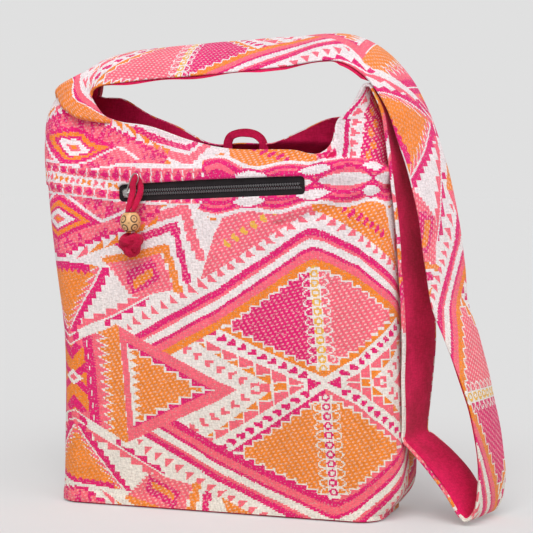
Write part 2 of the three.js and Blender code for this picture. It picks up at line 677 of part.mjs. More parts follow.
function buildPendant() {
  const tip = WIRE_PATH.getPoint(WIRE_TIP_SHARE).applyAxisAngle(new THREE.Vector3(0, 0, 1), -PULLER_LEAN);
  pendant.position.copy(puller.position).add(tip);
  const strand = CORD_DIAMETER / 2;
  const bend = WIRE_DIAMETER / 2 + WIRE_CLEARANCE + strand + CORD_SLACK;
  const pairHalf = strand + CORD_PAIR_GAP / 2;
  const beadTop = -BEAD_DROP + BEAD_HEIGHT / 2;
  const beadFoot = -BEAD_DROP - BEAD_HEIGHT / 2;
  const hung = new THREE.Vector3(-PENDANT_SWAY, -PENDANT_STANDOFF, 0);
  const hang = (z) => hung.clone().multiplyScalar(ramp(z, 0.5 * beadTop, beadTop));

  const stations = [
    [beadFoot - SEWN_GAP, pairHalf, CORD_TWIST],
    [beadTop, pairHalf, CORD_TWIST],
    [0.6 * beadTop, 0.5 * (pairHalf + bend), 0.8 * CORD_TWIST],
    [0.25 * beadTop, bend + CORD_SLACK, 0.4 * CORD_TWIST],
    [0, bend, 0],
  ];
  const strandPoint = (z, half, twist, side) =>
    new THREE.Vector3(side * half * Math.sin(twist), -side * half * Math.cos(twist), z).add(hang(z));
  const front = stations.map(([z, half, twist]) => strandPoint(z, half, twist, 1));
  const back = stations.map(([z, half, twist]) => strandPoint(z, half, twist, -1)).reverse();
  const over = new THREE.Vector3(0, 0, bend);
  const path = new THREE.CatmullRomCurve3([...front, over, ...back]);
  const section = new THREE.Shape();
  section.absarc(0, 0, strand, 0, 2 * Math.PI, false);
  const cord = new THREE.ExtrudeGeometry(section, { steps: 36, extrudePath: path, curveSegments: 4 });
  addMesh(pendant, "puller_cord", toGeometry(toManifold(cord)), CRIMSON);

  const bore = pairHalf + strand + BORE_CLEARANCE;
  const beadRadius = BEAD_DIAMETER / 2;
  const outline = new THREE.EllipseCurve(0, 0, beadRadius, beadRadius, -Math.PI / 2, Math.PI / 2);
  const flat = Math.min(BEAD_HEIGHT / 2, Math.sqrt(beadRadius ** 2 - bore ** 2));
  const wall = outline.getPoints(14).filter((point) => point.x > bore && Math.abs(point.y) < flat);
  const beadProfile = [new THREE.Vector2(bore, -flat), ...wall, new THREE.Vector2(bore, flat)];
  beadProfile.push(beadProfile[0].clone());
  const bead = new THREE.LatheGeometry(beadProfile, 18).rotateX(Math.PI / 2);
  const beadMesh = addMesh(pendant, "puller_bead", toGeometry(toManifold(bead)), WOOD);
  beadMesh.position.copy(hung).setZ(-BEAD_DROP);

  const turns = 3;
  const groove = 0.06;
  const ball = [];
  const rows = 18;
  for (let row = 0; row <= rows; row++) {
    const angle = -Math.PI / 2 + (Math.PI * row) / rows;
    const swell = 1 - groove * (1 + Math.cos((2 * Math.PI * turns * row) / rows));
    const radius = (KNOT_DIAMETER / 2) * Math.cos(angle) * swell;
    ball.push(new THREE.Vector2(row % rows ? radius : 0, (KNOT_HEIGHT / 2) * Math.sin(angle)));
  }
  const knot = new THREE.LatheGeometry(ball, 16).rotateX(Math.PI / 2);
  const knotZ = beadFoot - 2 * SEWN_GAP - KNOT_HEIGHT / 2;
  const knotMesh = addMesh(pendant, "puller_knot", toGeometry(toManifold(knot)), CRIMSON);
  knotMesh.position.copy(hung).setZ(knotZ);
}

buildBodyShell();
buildLining();
buildBase();
buildStrap();
buildClosingLoop();
buildZip();
buildPocketBag();
buildSlider();
buildPuller();
buildPendant();

export default bag;
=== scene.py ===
"""Woven shoulder bag: jacquard body and strap, crimson lining, zipped front pocket with a beaded puller."""
import json
import math

import bpy
import numpy as np
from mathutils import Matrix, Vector


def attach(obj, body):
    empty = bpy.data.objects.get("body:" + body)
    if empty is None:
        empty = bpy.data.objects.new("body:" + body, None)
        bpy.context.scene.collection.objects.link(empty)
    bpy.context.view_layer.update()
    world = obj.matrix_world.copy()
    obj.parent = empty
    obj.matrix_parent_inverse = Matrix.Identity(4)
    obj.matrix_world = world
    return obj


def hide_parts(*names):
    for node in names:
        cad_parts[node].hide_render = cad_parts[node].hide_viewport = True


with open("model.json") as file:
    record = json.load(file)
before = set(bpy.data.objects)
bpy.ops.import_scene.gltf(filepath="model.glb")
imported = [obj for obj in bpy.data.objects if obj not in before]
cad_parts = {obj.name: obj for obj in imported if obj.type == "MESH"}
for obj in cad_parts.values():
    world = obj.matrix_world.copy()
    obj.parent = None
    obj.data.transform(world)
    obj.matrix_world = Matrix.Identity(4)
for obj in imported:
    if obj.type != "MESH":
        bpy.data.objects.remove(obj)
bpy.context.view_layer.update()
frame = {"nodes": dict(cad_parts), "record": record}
MM = 0.001

# Camera: level with the zip, 20 degrees to the right of the front
CAMERA_DISTANCE = 1.552
CAMERA_HEIGHT = 0.325
CAMERA_AZIMUTH = math.radians(20)
SENSOR_WIDTH = 36
PICTURE_PIXELS, FOCAL_PIXELS = 533, 1508
AIM_RIGHT, AIM_DOWN = 31.2 / FOCAL_PIXELS, 76.5 / FOCAL_PIXELS


def add_object(name, data):
    obj = bpy.data.objects.new(name, data)
    bpy.context.scene.collection.objects.link(obj)
    return obj


def point_along(obj, direction):
    obj.rotation_mode = "QUATERNION"
    obj.rotation_quaternion = direction.to_track_quat("-Z", "Y")


def add_camera():
    back = Vector((math.sin(CAMERA_AZIMUTH), -math.cos(CAMERA_AZIMUTH), 0))
    right = Vector((math.cos(CAMERA_AZIMUTH), math.sin(CAMERA_AZIMUTH), 0))
    data = bpy.data.cameras.new("camera")
    data.sensor_width = SENSOR_WIDTH
    data.lens = SENSOR_WIDTH * FOCAL_PIXELS / PICTURE_PIXELS
    camera = add_object("camera", data)
    camera.location = back * CAMERA_DISTANCE + Vector((0, 0, CAMERA_HEIGHT))
    point_along(camera, -back + right * AIM_RIGHT - Vector((0, 0, AIM_DOWN)))
    bpy.context.scene.camera = camera


add_camera()


# Small numeric helpers
def ramp(at, low, high):
    return np.clip((np.asarray(at, float) - low) / (high - low), 0, 1)


def smooth(at, low, high):
    x = ramp(at, low, high)
    return x * x * (3 - 2 * x)


def window(at, opens, opened, closes, closed):
    """Rises smoothly from 0 to 1 and falls back to 0."""
    return smooth(at, opens, opened) * (1 - smooth(at, closes, closed))


def bell(x):
    return np.exp(-(x**2))


def between(x, low, high):
    return (x > low) & (x < high)


def lerp(a, b, share):
    return a + (b - a) * share


def knots(at, pairs):
    xs, ys = np.array(pairs, float).T
    return np.interp(at, xs, ys)


def profile(pairs):
    """A smooth value along one coordinate, through given knots."""
    xs, ys = np.array(pairs, float).T
    last = len(xs) - 1

    def value(q):
        q = np.clip(q, xs[0], xs[-1])
        after = np.clip(np.searchsorted(xs, q, side="right"), 1, last)
        t0, t1 = xs[after - 1], xs[after]
        before = np.where(after >= 2, after - 2, after)
        later = np.where(after < last, np.minimum(after + 1, last), after - 1)
        half = (t1 - t0) / 2
        weight_in = half / (t0 - xs[before])
        weight_out = half / (xs[later] - t1)
        p = (q - t0) / (t1 - t0)
        first = (1 + weight_in) * p**3 + (-1.5 - 2 * weight_in) * p**2 + (weight_in - 0.5) * p + 1
        second = (-1 - weight_out) * p**3 + (1.5 + weight_out) * p**2 + 0.5 * p
        ends = weight_in * (2 * p**2 - p**3 - p) * ys[before] + weight_out * (p**3 - p**2) * ys[later]
        return ends + first * ys[after - 1] + second * ys[after]

    return value


def catmull(points):
    """A centripetal curve through points, by shares of the way from 0 to 1."""
    points = np.array(points, float)
    last = len(points) - 1
    points = np.concatenate([2 * points[:1] - points[1:2], points, 2 * points[-1:] - points[-2:-1]])
    too_near = 1e-4

    def value(shares):
        at = last * np.asarray(shares, float)
        k = np.minimum(np.floor(at).astype(int), last - 1)
        w = (at - k)[..., None]
        p0, p1, p2, p3 = (points[k + step] for step in range(4))
        gaps = (p1 - p0, p2 - p1, p3 - p2)
        d0, d1, d2 = ((gap**2).sum(-1, keepdims=True) ** 0.25 for gap in gaps)
        d1 = np.where(d1 > too_near, d1, 1.0)
        d0, d2 = np.where(d0 > too_near, d0, d1), np.where(d2 > too_near, d2, d1)
        m1 = ((p1 - p0) / d0 - (p2 - p0) / (d0 + d1) + (p2 - p1) / d1) * d1
        m2 = ((p2 - p1) / d1 - (p3 - p1) / (d1 + d2) + (p3 - p2) / d2) * d1
        return p1 + m1 * w + (3 * (p2 - p1) - 2 * m1 - m2) * w**2 + (2 * (p1 - p2) + m1 + m2) * w**3

    return value


def unit(vectors):
    return vectors / np.maximum(np.linalg.norm(vectors, axis=-1, keepdims=True), 1e-9)


def run_length(line):
    """How far along a line of points each one lies."""
    return np.concatenate([[0], np.cumsum(np.linalg.norm(np.diff(line, axis=0), axis=1))])


def circle(count):
    return np.arange(count) / count * 2 * math.pi


def sphere(rise, turn):
    return np.stack([np.cos(rise) * np.cos(turn), np.cos(rise) * np.sin(turn), np.sin(rise)], -1)


def ripple(a, b, seed):
    """A soft random field from a few waves, about -1 to 1."""
    rng = np.random.default_rng(seed)
    total = 0
    for _ in range(7):
        angle, rate, phase = rng.uniform(0, 6.28), rng.uniform(0.6, 1.5), rng.uniform(0, 6.28)
        total = total + np.sin(rate * (a * math.cos(angle) + b * math.sin(angle)) + phase)
    return total / 3.5


# The body's wall, in millimetres
HALF_WIDTH = 181.0
SHOULDER, RIM = 345.0, 367.0
LEFT_RISE, LEFT_BACK_RISE, RIGHT_RISE, BACK_RIM_RISE = 37.0, 20.0, 33.0, 7.0
LEFT_HORN, RIGHT_HORN = RIM + LEFT_RISE, RIM + RIGHT_RISE
LEFT_PEAK = LEFT_RISE + LEFT_BACK_RISE
WALL_BOTTOM = 6.4
FOOT_DEPTH, BODY_DEPTH, HORN_DEPTH = 50.0, 48.0, 32.0
FRONT_LIP, BACK_LIP = 18.0, 15.0
BULGE, BULGE_TOP = 5.0, 268.0
FOOT_CORNER, HORN_CORNER = 24.0, 31.0
LEFT_FOOT, RIGHT_FOOT = 12.0, 38.0
SIDE_RUN, CORNER_RUN, FLAT_RUN = 26, 37.7, 318

left_lean = profile([
    (0, 0), (0.15 * SHOULDER, -1), (0.5 * SHOULDER, 1), (0.72 * SHOULDER, 11), (SHOULDER, 23),
    (0.5 * (SHOULDER + LEFT_HORN), 28), (LEFT_HORN, 29), (LEFT_HORN + LEFT_BACK_RISE, 17),
])
right_lean = profile([
    (0, 0), (0.14 * SHOULDER, 4.5), (0.28 * SHOULDER, 2), (0.43 * SHOULDER, -1), (0.87 * SHOULDER, -8),
    (RIM, -17), (RIGHT_HORN, -25),
])
front_rim = profile([
    (0, LEFT_RISE), (0.12, LEFT_RISE), (0.19, 0.8 * LEFT_RISE), (0.3, 0.65 * LEFT_RISE),
    (0.44, 0.24 * LEFT_RISE), (0.58, 0), (0.8, -2), (0.9, -5), (0.935, 0.15 * RIGHT_RISE),
    (0.965, 0.75 * RIGHT_RISE), (1, RIGHT_RISE),
])
back_rim = profile([
    (0, LEFT_PEAK), (0.06, LEFT_PEAK), (0.12, LEFT_RISE + 0.9 * LEFT_BACK_RISE), (0.27, LEFT_RISE - 1),
    (0.36, 0.68 * LEFT_RISE), (0.47, BACK_RIM_RISE), (0.58, BACK_RIM_RISE), (0.69, BACK_RIM_RISE),
    (0.8, 0.6 * RIGHT_RISE), (0.9, 0.95 * RIGHT_RISE), (1, RIGHT_RISE),
])


def straight_depth(z):
    return lerp(FOOT_DEPTH, BODY_DEPTH, ramp(z, 0, BULGE_TOP))


def middle_depth(z):
    """Half the body's depth at the middle of a panel, below the shoulder."""
    return straight_depth(z) + BULGE * np.sin(math.pi * ramp(z, 0, BULGE_TOP)) ** 2


def half_depth(along, across, z):
    ends = lerp(straight_depth(z), HORN_DEPTH, ramp(z, SHOULDER, RIGHT_HORN))
    lip = np.where(across < 0, FRONT_LIP, BACK_LIP)
    lean = ramp(z, SHOULDER, RIM + BACK_RIM_RISE) ** 1.4
    return lerp(ends, lerp(middle_depth(z), lip, lean), 1 - np.abs(2 * along - 1) ** 3)


def foot(z, radius):
    return radius - np.sqrt(radius**2 - np.maximum(0, radius - z) ** 2)


def wall_point(along, across, nx, ny, z, inset=0.0, front_inset=None):
    """A point of the wall by its station, moved in by an inset, which may be another one in front."""
    front_inset = inset if front_inset is None else front_inset
    radius = lerp(FOOT_CORNER, HORN_CORNER, ramp(z, 0, RIGHT_HORN)) - inset
    left = -HALF_WIDTH - left_lean(z) + foot(z, LEFT_FOOT) + inset + radius
    right = HALF_WIDTH + right_lean(z) - foot(z, RIGHT_FOOT) - inset - radius
    depth = half_depth(along, across, z) - lerp(inset, front_inset, np.maximum(0, -across)) - radius
    x = lerp(left, right, along) + nx * radius
    return np.stack([x, across * depth + ny * radius, z + 0 * radius], -1)


def rim_height(along, ny):
    return lerp(RIM + front_rim(along), RIM + back_rim(along), (ny + 1) / 2)


def cloth_rim(along, ny):
    """The rim as the cloth settles: at the left corner it is drawn up round the strap's foot."""
    drawn = knots(ny, [(-1, 6), (-0.95, 11), (-0.85, 20), (-0.7, 23), (-0.4, 21), (0, 15), (1, 2)])
    return rim_height(along, ny) + drawn * (1 - smooth(along, 0, 0.04))


def panel_stations(facing, step):
    """Stations from the left side's middle to the right side's, by the front (-1) or the back (1)."""
    side, corner, flat = round(SIDE_RUN / step), round(CORNER_RUN / step), round(FLAT_RUN / step)
    turn = np.arange(corner) / corner * math.pi / 2
    rows = [(0, facing * k / side, -1, 0) for k in range(side)]
    rows += [(0, facing, -math.cos(a), facing * math.sin(a)) for a in turn]
    rows += [(k / flat, facing, 0, facing) for k in range(flat)]
    rows += [(1, facing, math.sin(a), facing * math.cos(a)) for a in turn]
    rows += [(1, facing * (1 - k / side), 1, 0) for k in range(side + 1)]
    return np.array(rows, float).T


def ring_stations(step):
    """Stations once round the body, by the front and back again."""
    return np.concatenate([panel_stations(-1, step), panel_stations(1, step)[:, ::-1][:, 1:-1]], 1)


# Meshes and their cloth attributes
def make_mesh(name, points, faces, material, tint=None, cloth=None, smooth_shade=True):
    """Points in millimetres. Tint is a colour and speck share per face, cloth the weave's place per point."""
    points = np.asarray(points, float).reshape(-1, 3)
    faces = faces.tolist() if isinstance(faces, np.ndarray) else faces
    mesh = bpy.data.meshes.new(name)
    mesh.from_pydata((points * MM).tolist(), [], faces)
    if smooth_shade:
        mesh.polygons.foreach_set("use_smooth", np.ones(len(faces), bool))
    if tint is not None:
        corners = np.repeat(tint.reshape(-1, 4), [len(face) for face in faces], axis=0)
        layer = mesh.attributes.new("tint", "FLOAT_COLOR", "CORNER")
        layer.data.foreach_set("color", corners.astype(np.float32).ravel())
    if cloth is not None:
        place = np.zeros((len(points), 3), np.float32)
        place[:, :2] = cloth.reshape(-1, 2)
        layer = mesh.attributes.new("cloth", "FLOAT_VECTOR", "POINT")
        layer.data.foreach_set("vector", place.ravel())
    mesh.materials.append(material)
    mesh.update()
    return add_object(name, mesh)


def grid_faces(rows, columns, wrap_columns=False, wrap_rows=False):
    """Four-sided faces of a grid of points, row by row."""
    row_to = np.arange(rows if wrap_rows else rows - 1)
    column_to = np.arange(columns if wrap_columns else columns - 1)
    r, c = np.meshgrid(row_to, column_to, indexing="ij")
    r2, c2 = (r + 1) % rows, (c + 1) % columns
    corners = [row * columns + column for row, column in ((r, c), (r, c2), (r2, c2), (r2, c))]
    return np.stack(corners, -1).reshape(-1, 4)


def barrel_faces(rows, columns):
    """Faces of rings of points, each joined to the next, with both ends closed."""
    ends = [list(range(columns))[::-1], list(range((rows - 1) * columns, rows * columns))]
    return grid_faces(rows, columns, wrap_columns=True).tolist() + ends


def slab(name, front, rear, material, flip=False):
    """A closed piece of two grids of points, one behind the other."""
    rows, columns = front.shape[:2]
    grid, count = grid_faces(rows, columns), rows * columns
    index = np.arange(count).reshape(rows, columns)
    edge = [*index[0], *index[1:, -1], *index[-1, -2::-1], *index[-2:0:-1, 0]]
    rim = [(b, a, a + count, b + count) for a, b in zip(edge, edge[1:] + edge[:1])]
    faces = np.concatenate([grid, grid[:, ::-1] + count, rim])
    return make_mesh(name, np.concatenate([front, rear]), faces[:, ::-1] if flip else faces, material)


def grid_normals(points):
    """Unit normals of a grid of points, rows x columns."""
    return unit(np.cross(np.gradient(points, axis=1), np.gradient(points, axis=0)))


def between_cells(grid):
    """Values at the middles of a grid's faces."""
    return (grid[1:, 1:] + grid[:-1, :-1]) / 2


def finish_piece(obj, body, slot, *nodes):
    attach(obj, body)
    if nodes:
        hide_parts(*nodes)
    return obj


def tube(path, radius, sides, closed=False, up=(0, 0, 1)):
    """Points and faces of a round tube along a path; radius is one value or one per path point."""
    path = np.asarray(path, float)
    count = len(path)
    radius = np.broadcast_to(np.asarray(radius, float), (count,))
    if closed:
        tangent = unit(np.roll(path, -1, 0) - np.roll(path, 1, 0))
    else:
        tangent = unit(np.gradient(path, axis=0))
    side = np.cross(tangent[0], up)
    if np.linalg.norm(side) < 1e-3:
        side = np.cross(tangent[0], (1, 0, 0))
    cosine, sine = np.cos(circle(sides))[:, None], np.sin(circle(sides))[:, None]
    points = []
    for k in range(count):
        side = unit(side - tangent[k] * np.dot(side, tangent[k]))
        other = np.cross(tangent[k], side)
        points.append(path[k] + radius[k] * (cosine * side + sine * other))
    if closed:
        faces = grid_faces(count, sides, wrap_columns=True, wrap_rows=True).tolist()
    else:
        faces = barrel_faces(count, sides)
    return np.concatenate(points), faces


def swollen(path, points, share):
    """A tube's points moved from its middle line by a share of their distance from it."""
    middle = np.repeat(path, len(points) // len(path), 0)
    return middle + (points - middle) * share.reshape(-1, 1)


def joined(parts):
    """Several (points, faces) in one."""
    points, faces, start = [], [], 0
    for part_points, part_faces in parts:
        points.append(part_points)
        faces.extend([[index + start for index in face] for face in part_faces])
        start += len(part_points)
    return np.concatenate(points), faces


# Materials
def linear(*rgb):
    """Linear light of a colour given in 0 to 255."""
    shares = [value / 255 for value in rgb]
    return tuple(x / 12.92 if x <= 0.04045 else ((x + 0.055) / 1.055) ** 2.4 for x in shares)


class Nodes:
    """The node tree of a material or world, with short ways to add the few kinds of node used here."""

    def __init__(self, owner):
        self.owner = owner
        owner.use_nodes = True
        self.tree = owner.node_tree
        self.surface = self.tree.nodes.get("Principled BSDF")

    def add(self, kind, **settings):
        node = self.tree.nodes.new(kind)
        for key, value in settings.items():
            setattr(node, key, value)
        return node

    def wire(self, source, target):
        if isinstance(source, bpy.types.NodeSocket):
            self.tree.links.new(source, target)
        else:
            target.default_value = (*source, 1) if target.type == "RGBA" else source

    def math(self, operation, *values):
        node = self.add("ShaderNodeMath", operation=operation)
        for socket, value in zip(node.inputs, values):
            self.wire(value, socket)
        return node.outputs[0]

    def mix(self, share, first, second, blend="MIX"):
        node = self.add("ShaderNodeMix", data_type="RGBA", blend_type=blend)
        for key, value in (("Factor", share), (6, first), (7, second)):
            self.wire(value, node.inputs[key])
        return node.outputs[2]

    def rescale(self, value, from_low, from_high, to_low=0.0, to_high=1.0, kind="SMOOTHSTEP"):
        node = self.add("ShaderNodeMapRange", interpolation_type=kind)
        for socket, item in zip(node.inputs, (value, from_low, from_high, to_low, to_high)):
            self.wire(item, socket)
        return node.outputs[0]

    def attribute(self, name):
        return self.add("ShaderNodeAttribute", attribute_name=name)

    def place(self):
        return self.add("ShaderNodeTexCoord").outputs["Object"]

    def axes(self, vector):
        node = self.add("ShaderNodeSeparateXYZ")
        self.wire(vector, node.inputs[0])
        return node.outputs

    def noise(self, vector, scale, detail=2.0, roughness=0.5):
        """Scale is one value, or one for each direction."""
        if isinstance(scale, tuple):
            stretch = self.add("ShaderNodeMapping")
            self.wire(vector, stretch.inputs["Vector"])
            stretch.inputs["Scale"].default_value = scale
            vector, scale = stretch.outputs[0], 1.0
        node = self.add("ShaderNodeTexNoise")
        self.wire(vector, node.inputs["Vector"])
        for key, value in (("Scale", scale), ("Detail", detail), ("Roughness", roughness)):
            node.inputs[key].default_value = value
        return node.outputs["Fac"]

    def bump(self, height, distance):
        node = self.add("ShaderNodeBump")
        node.inputs["Strength"].default_value = 1.0
        node.inputs["Distance"].default_value = distance
        self.wire(height, node.inputs["Height"])
        self.wire(node.outputs[0], self.surface.inputs["Normal"])

    def colour(self, value):
        self.wire(value, self.surface.inputs["Base Color"])

    def set(self, **values):
        for key, value in values.items():
            self.surface.inputs[key.replace("_", " ")].default_value = value


def new_material(name):
    return Nodes(bpy.data.materials.new(name))


CREAM_RGB = linear(243, 235, 226)
SPECK_RGB = linear(250, 222, 208)
SPECK_STEP, SPECK_ROW, SPECK_LEAN, SPECK_SHIFT = 5.2, 3.5, 0.26, 0.37
RIB_PITCH = 1.05
# Painted light: a colour gradient by height, painted shade at the foot and painted light, slightly violet, at
# the top
PAINTED_SHADE_FOOT, PAINTED_LIGHT_TOP, PAINTED_LIGHT_HEIGHT = (0.90, 0.90, 0.86), (1.02, 0.97, 1.09), 0.36


def jacquard_material():
    """Woven cotton. The motif's colours come with the mesh; specks, threads, relief and painted light
    (painted shade at the foot, painted light towards the top) are made here.
    """
    nodes = new_material("jacquard weave")
    tint = nodes.attribute("tint")
    cloth = nodes.attribute("cloth").outputs["Vector"]
    s, t, _ = nodes.axes(cloth)
    line = nodes.math("SUBTRACT", t, nodes.math("MULTIPLY", s, SPECK_LEAN))
    line = nodes.math("DIVIDE", line, SPECK_ROW)
    stagger = nodes.math("MULTIPLY", nodes.math("FLOOR", line), SPECK_SHIFT)
    shifted = nodes.math("ADD", nodes.math("DIVIDE", s, SPECK_STEP), stagger)
    shown = nodes.math("MULTIPLY", tint.outputs["Alpha"], 0.95)
    for value, full in ((shifted, 0.18), (line, 0.16)):
        off = nodes.math("ABSOLUTE", nodes.math("SUBTRACT", nodes.math("FRACT", value), 0.5))
        shown = nodes.math("MULTIPLY", shown, nodes.rescale(off, 0.26, full))
    weft = nodes.noise(cloth, (0.13, 0.66, 1.0), 2.0, 0.6)
    warp = nodes.noise(cloth, (0.66, 0.13, 1.0), 2.0, 0.6)
    grain = nodes.noise(cloth, (0.5, 0.56, 1.0), 1.0)
    shown = nodes.math("MAXIMUM", shown, nodes.rescale(grain, 0.58, 0.68, 0.0, 0.4))
    specked = nodes.mix(shown, tint.outputs["Color"], SPECK_RGB)
    threads = nodes.math("ADD", nodes.math("ADD", weft, warp), nodes.math("MULTIPLY", grain, -1.3))
    patches = nodes.noise(cloth, 0.035, 2.0)
    tone = nodes.math("ADD", nodes.rescale(threads, -0.25, 0.95, 0.68, 1.26, "LINEAR"),
                      nodes.rescale(patches, 0.3, 0.7, -0.05, 0.05, "LINEAR"))
    shade = nodes.add("ShaderNodeCombineColor")
    for socket in shade.inputs[:3]:
        nodes.wire(tone, socket)
    # Painted light: the colour is darker towards the bottom and lighter towards the top
    height = nodes.axes(nodes.place())["Z"]
    painted_light_gradient = nodes.mix(nodes.rescale(height, 0.0, PAINTED_LIGHT_HEIGHT), PAINTED_SHADE_FOOT, PAINTED_LIGHT_TOP)
    with_painted_light = nodes.mix(1.0, specked, painted_light_gradient, "MULTIPLY")
    nodes.colour(nodes.mix(1.0, with_painted_light, shade.outputs[0], "MULTIPLY"))
    rib = nodes.math("SINE", nodes.math("MULTIPLY", t, 2 * math.pi / RIB_PITCH))
    float_yarn = nodes.math("MULTIPLY", nodes.math("SINE", nodes.math("MULTIPLY", shifted, 2 * math.pi)), 0.5)
    relief = nodes.math("ADD", nodes.math("MULTIPLY", rib, 0.35), float_yarn)
    relief = nodes.math("SUBTRACT", nodes.math("ADD", relief, threads), nodes.math("MULTIPLY", shown, 1.2))
    nodes.bump(relief, 0.00022)
    nodes.set(Roughness=0.88, Sheen_Weight=0.12, Sheen_Roughness=0.5, Specular_IOR_Level=0.25)
    return nodes.owner


def cotton_material(name, colour, dark, thread=0.9, relief=0.00012):
    """Plain woven cotton with a fine crossed thread and random darker patches, made strong enough to stand in
    as painted shade of the folds.
    """
    nodes = new_material(name)
    place = nodes.place()
    fine = nodes.noise(place, (700 * thread, 700 * thread, 180))
    cross = nodes.noise(place, (160, 160, 800 * thread))
    weave = nodes.math("ADD", fine, cross)
    # Painted shade: random darker patches stand in for the shade in the cloth's folds
    shade_patches = nodes.rescale(nodes.noise(place, 22.0, 3.0), 0.36, 0.66, 0.0, 0.42)
    share = nodes.math("ADD", nodes.rescale(weave, 0.7, 1.3, 0.0, 0.45, "LINEAR"), shade_patches)
    nodes.colour(nodes.mix(share, colour, dark))
    nodes.bump(weave, relief)
    nodes.set(Roughness=0.9, Sheen_Weight=0.05, Sheen_Roughness=0.45, Specular_IOR_Level=0.2)
    return nodes.owner


def metal_material():
    nodes = new_material("nickel")
    wear = nodes.noise(nodes.place(), 900.0, 3.0)
    nodes.colour(nodes.mix(wear, linear(205, 203, 200), linear(150, 148, 146)))
    nodes.wire(nodes.rescale(wear, 0.3, 0.7, 0.22, 0.4), nodes.surface.inputs["Roughness"])
    nodes.set(Metallic=1.0)
    return nodes.owner


def wood_material():
    """Pale bead wood; the carved rings and the painted shade in the bore come with the mesh as a darkening
    share.
    """
    nodes = new_material("bead wood")
    grain = nodes.noise(nodes.place(), (260, 260, 60), 4.0)
    pale = nodes.mix(nodes.rescale(grain, 0.3, 0.7), linear(236, 190, 134), linear(206, 152, 96))
    nodes.colour(nodes.mix(nodes.attribute("tint").outputs["Alpha"], pale, linear(62, 34, 18)))
    nodes.bump(grain, 0.0001)
    nodes.set(Roughness=0.42)
    return nodes.owner


def coil_material():
    nodes = new_material("nylon coil")
    wear = nodes.noise(nodes.place(), 1500.0)
    nodes.colour(nodes.mix(wear, linear(78, 75, 77), linear(120, 116, 118)))
    nodes.set(Roughness=0.28)
    return nodes.owner


JACQUARD = jacquard_material()
CRIMSON = cotton_material("crimson lining", linear(228, 28, 94), linear(158, 4, 48))
CORD = cotton_material("crimson cord", linear(216, 28, 78), linear(138, 2, 38), 1.4, 0.0007)
TAPE = cotton_material("zip tape", linear(44, 40, 42), linear(24, 21, 23), 1.4, 0.0002)
COIL = coil_material()
METAL = metal_material()
WOOD = wood_material()


# The jacquard's motif: one mirrored repeat, in millimetres of cloth
CREAM, MAGENTA, SALMON, ORANGE, YELLOW = range(5)
HALF_REPEAT_U = 270.0
HALF_REPEAT_V = 198.0
SLOPE = 0.53
ARROW_SLOPE = 0.48
SMALL_ROW = 167.0
ARROW_EDGE, BAND_TOP = 92, 176
COMB, ZIGZAG, CHAIN = 2.6, 8.3, 66


def part(x, period):
    """How far through its period x is, from 0 to 1."""
    return (x / period) % 1.0


def wave(x, period):
    """A triangle wave from 1 to 0 and back."""
    return np.abs(part(x, period) * 2 - 1)


def stepped(x, step):
    return np.floor(x / step) * step


def inside(u, v, corners):
    """Points inside a convex outline."""
    sides = []
    for (ax, ay), (bx, by) in zip(corners, corners[1:] + corners[:1]):
        sides.append((bx - ax) * (v - ay) - (by - ay) * (u - ax))
    sides = np.stack(sides)
    return (sides >= 0).all(0) | (sides <= 0).all(0)


def stroke(u, v, path, width):
    """Points within half a width of a bent line."""
    hit = np.zeros(u.shape, bool)
    for (ax, ay), (bx, by) in zip(path, path[1:]):
        dx, dy = bx - ax, by - ay
        at = np.clip(((u - ax) * dx + (v - ay) * dy) / (dx * dx + dy * dy), 0, 1)
        hit |= np.hypot(u - ax - at * dx, v - ay - at * dy) < width / 2
    return hit


def blotches(u, v):
    """Short upright streaks, as where warp colours change in clumps: a value from 0 to 1 per clump."""
    column = np.floor(u / 3.6)
    row = np.floor(v / 7.5 + 0.37 * column)
    return (np.sin(column * 12.9898 + row * 78.233) * 43758.5453) % 1.0


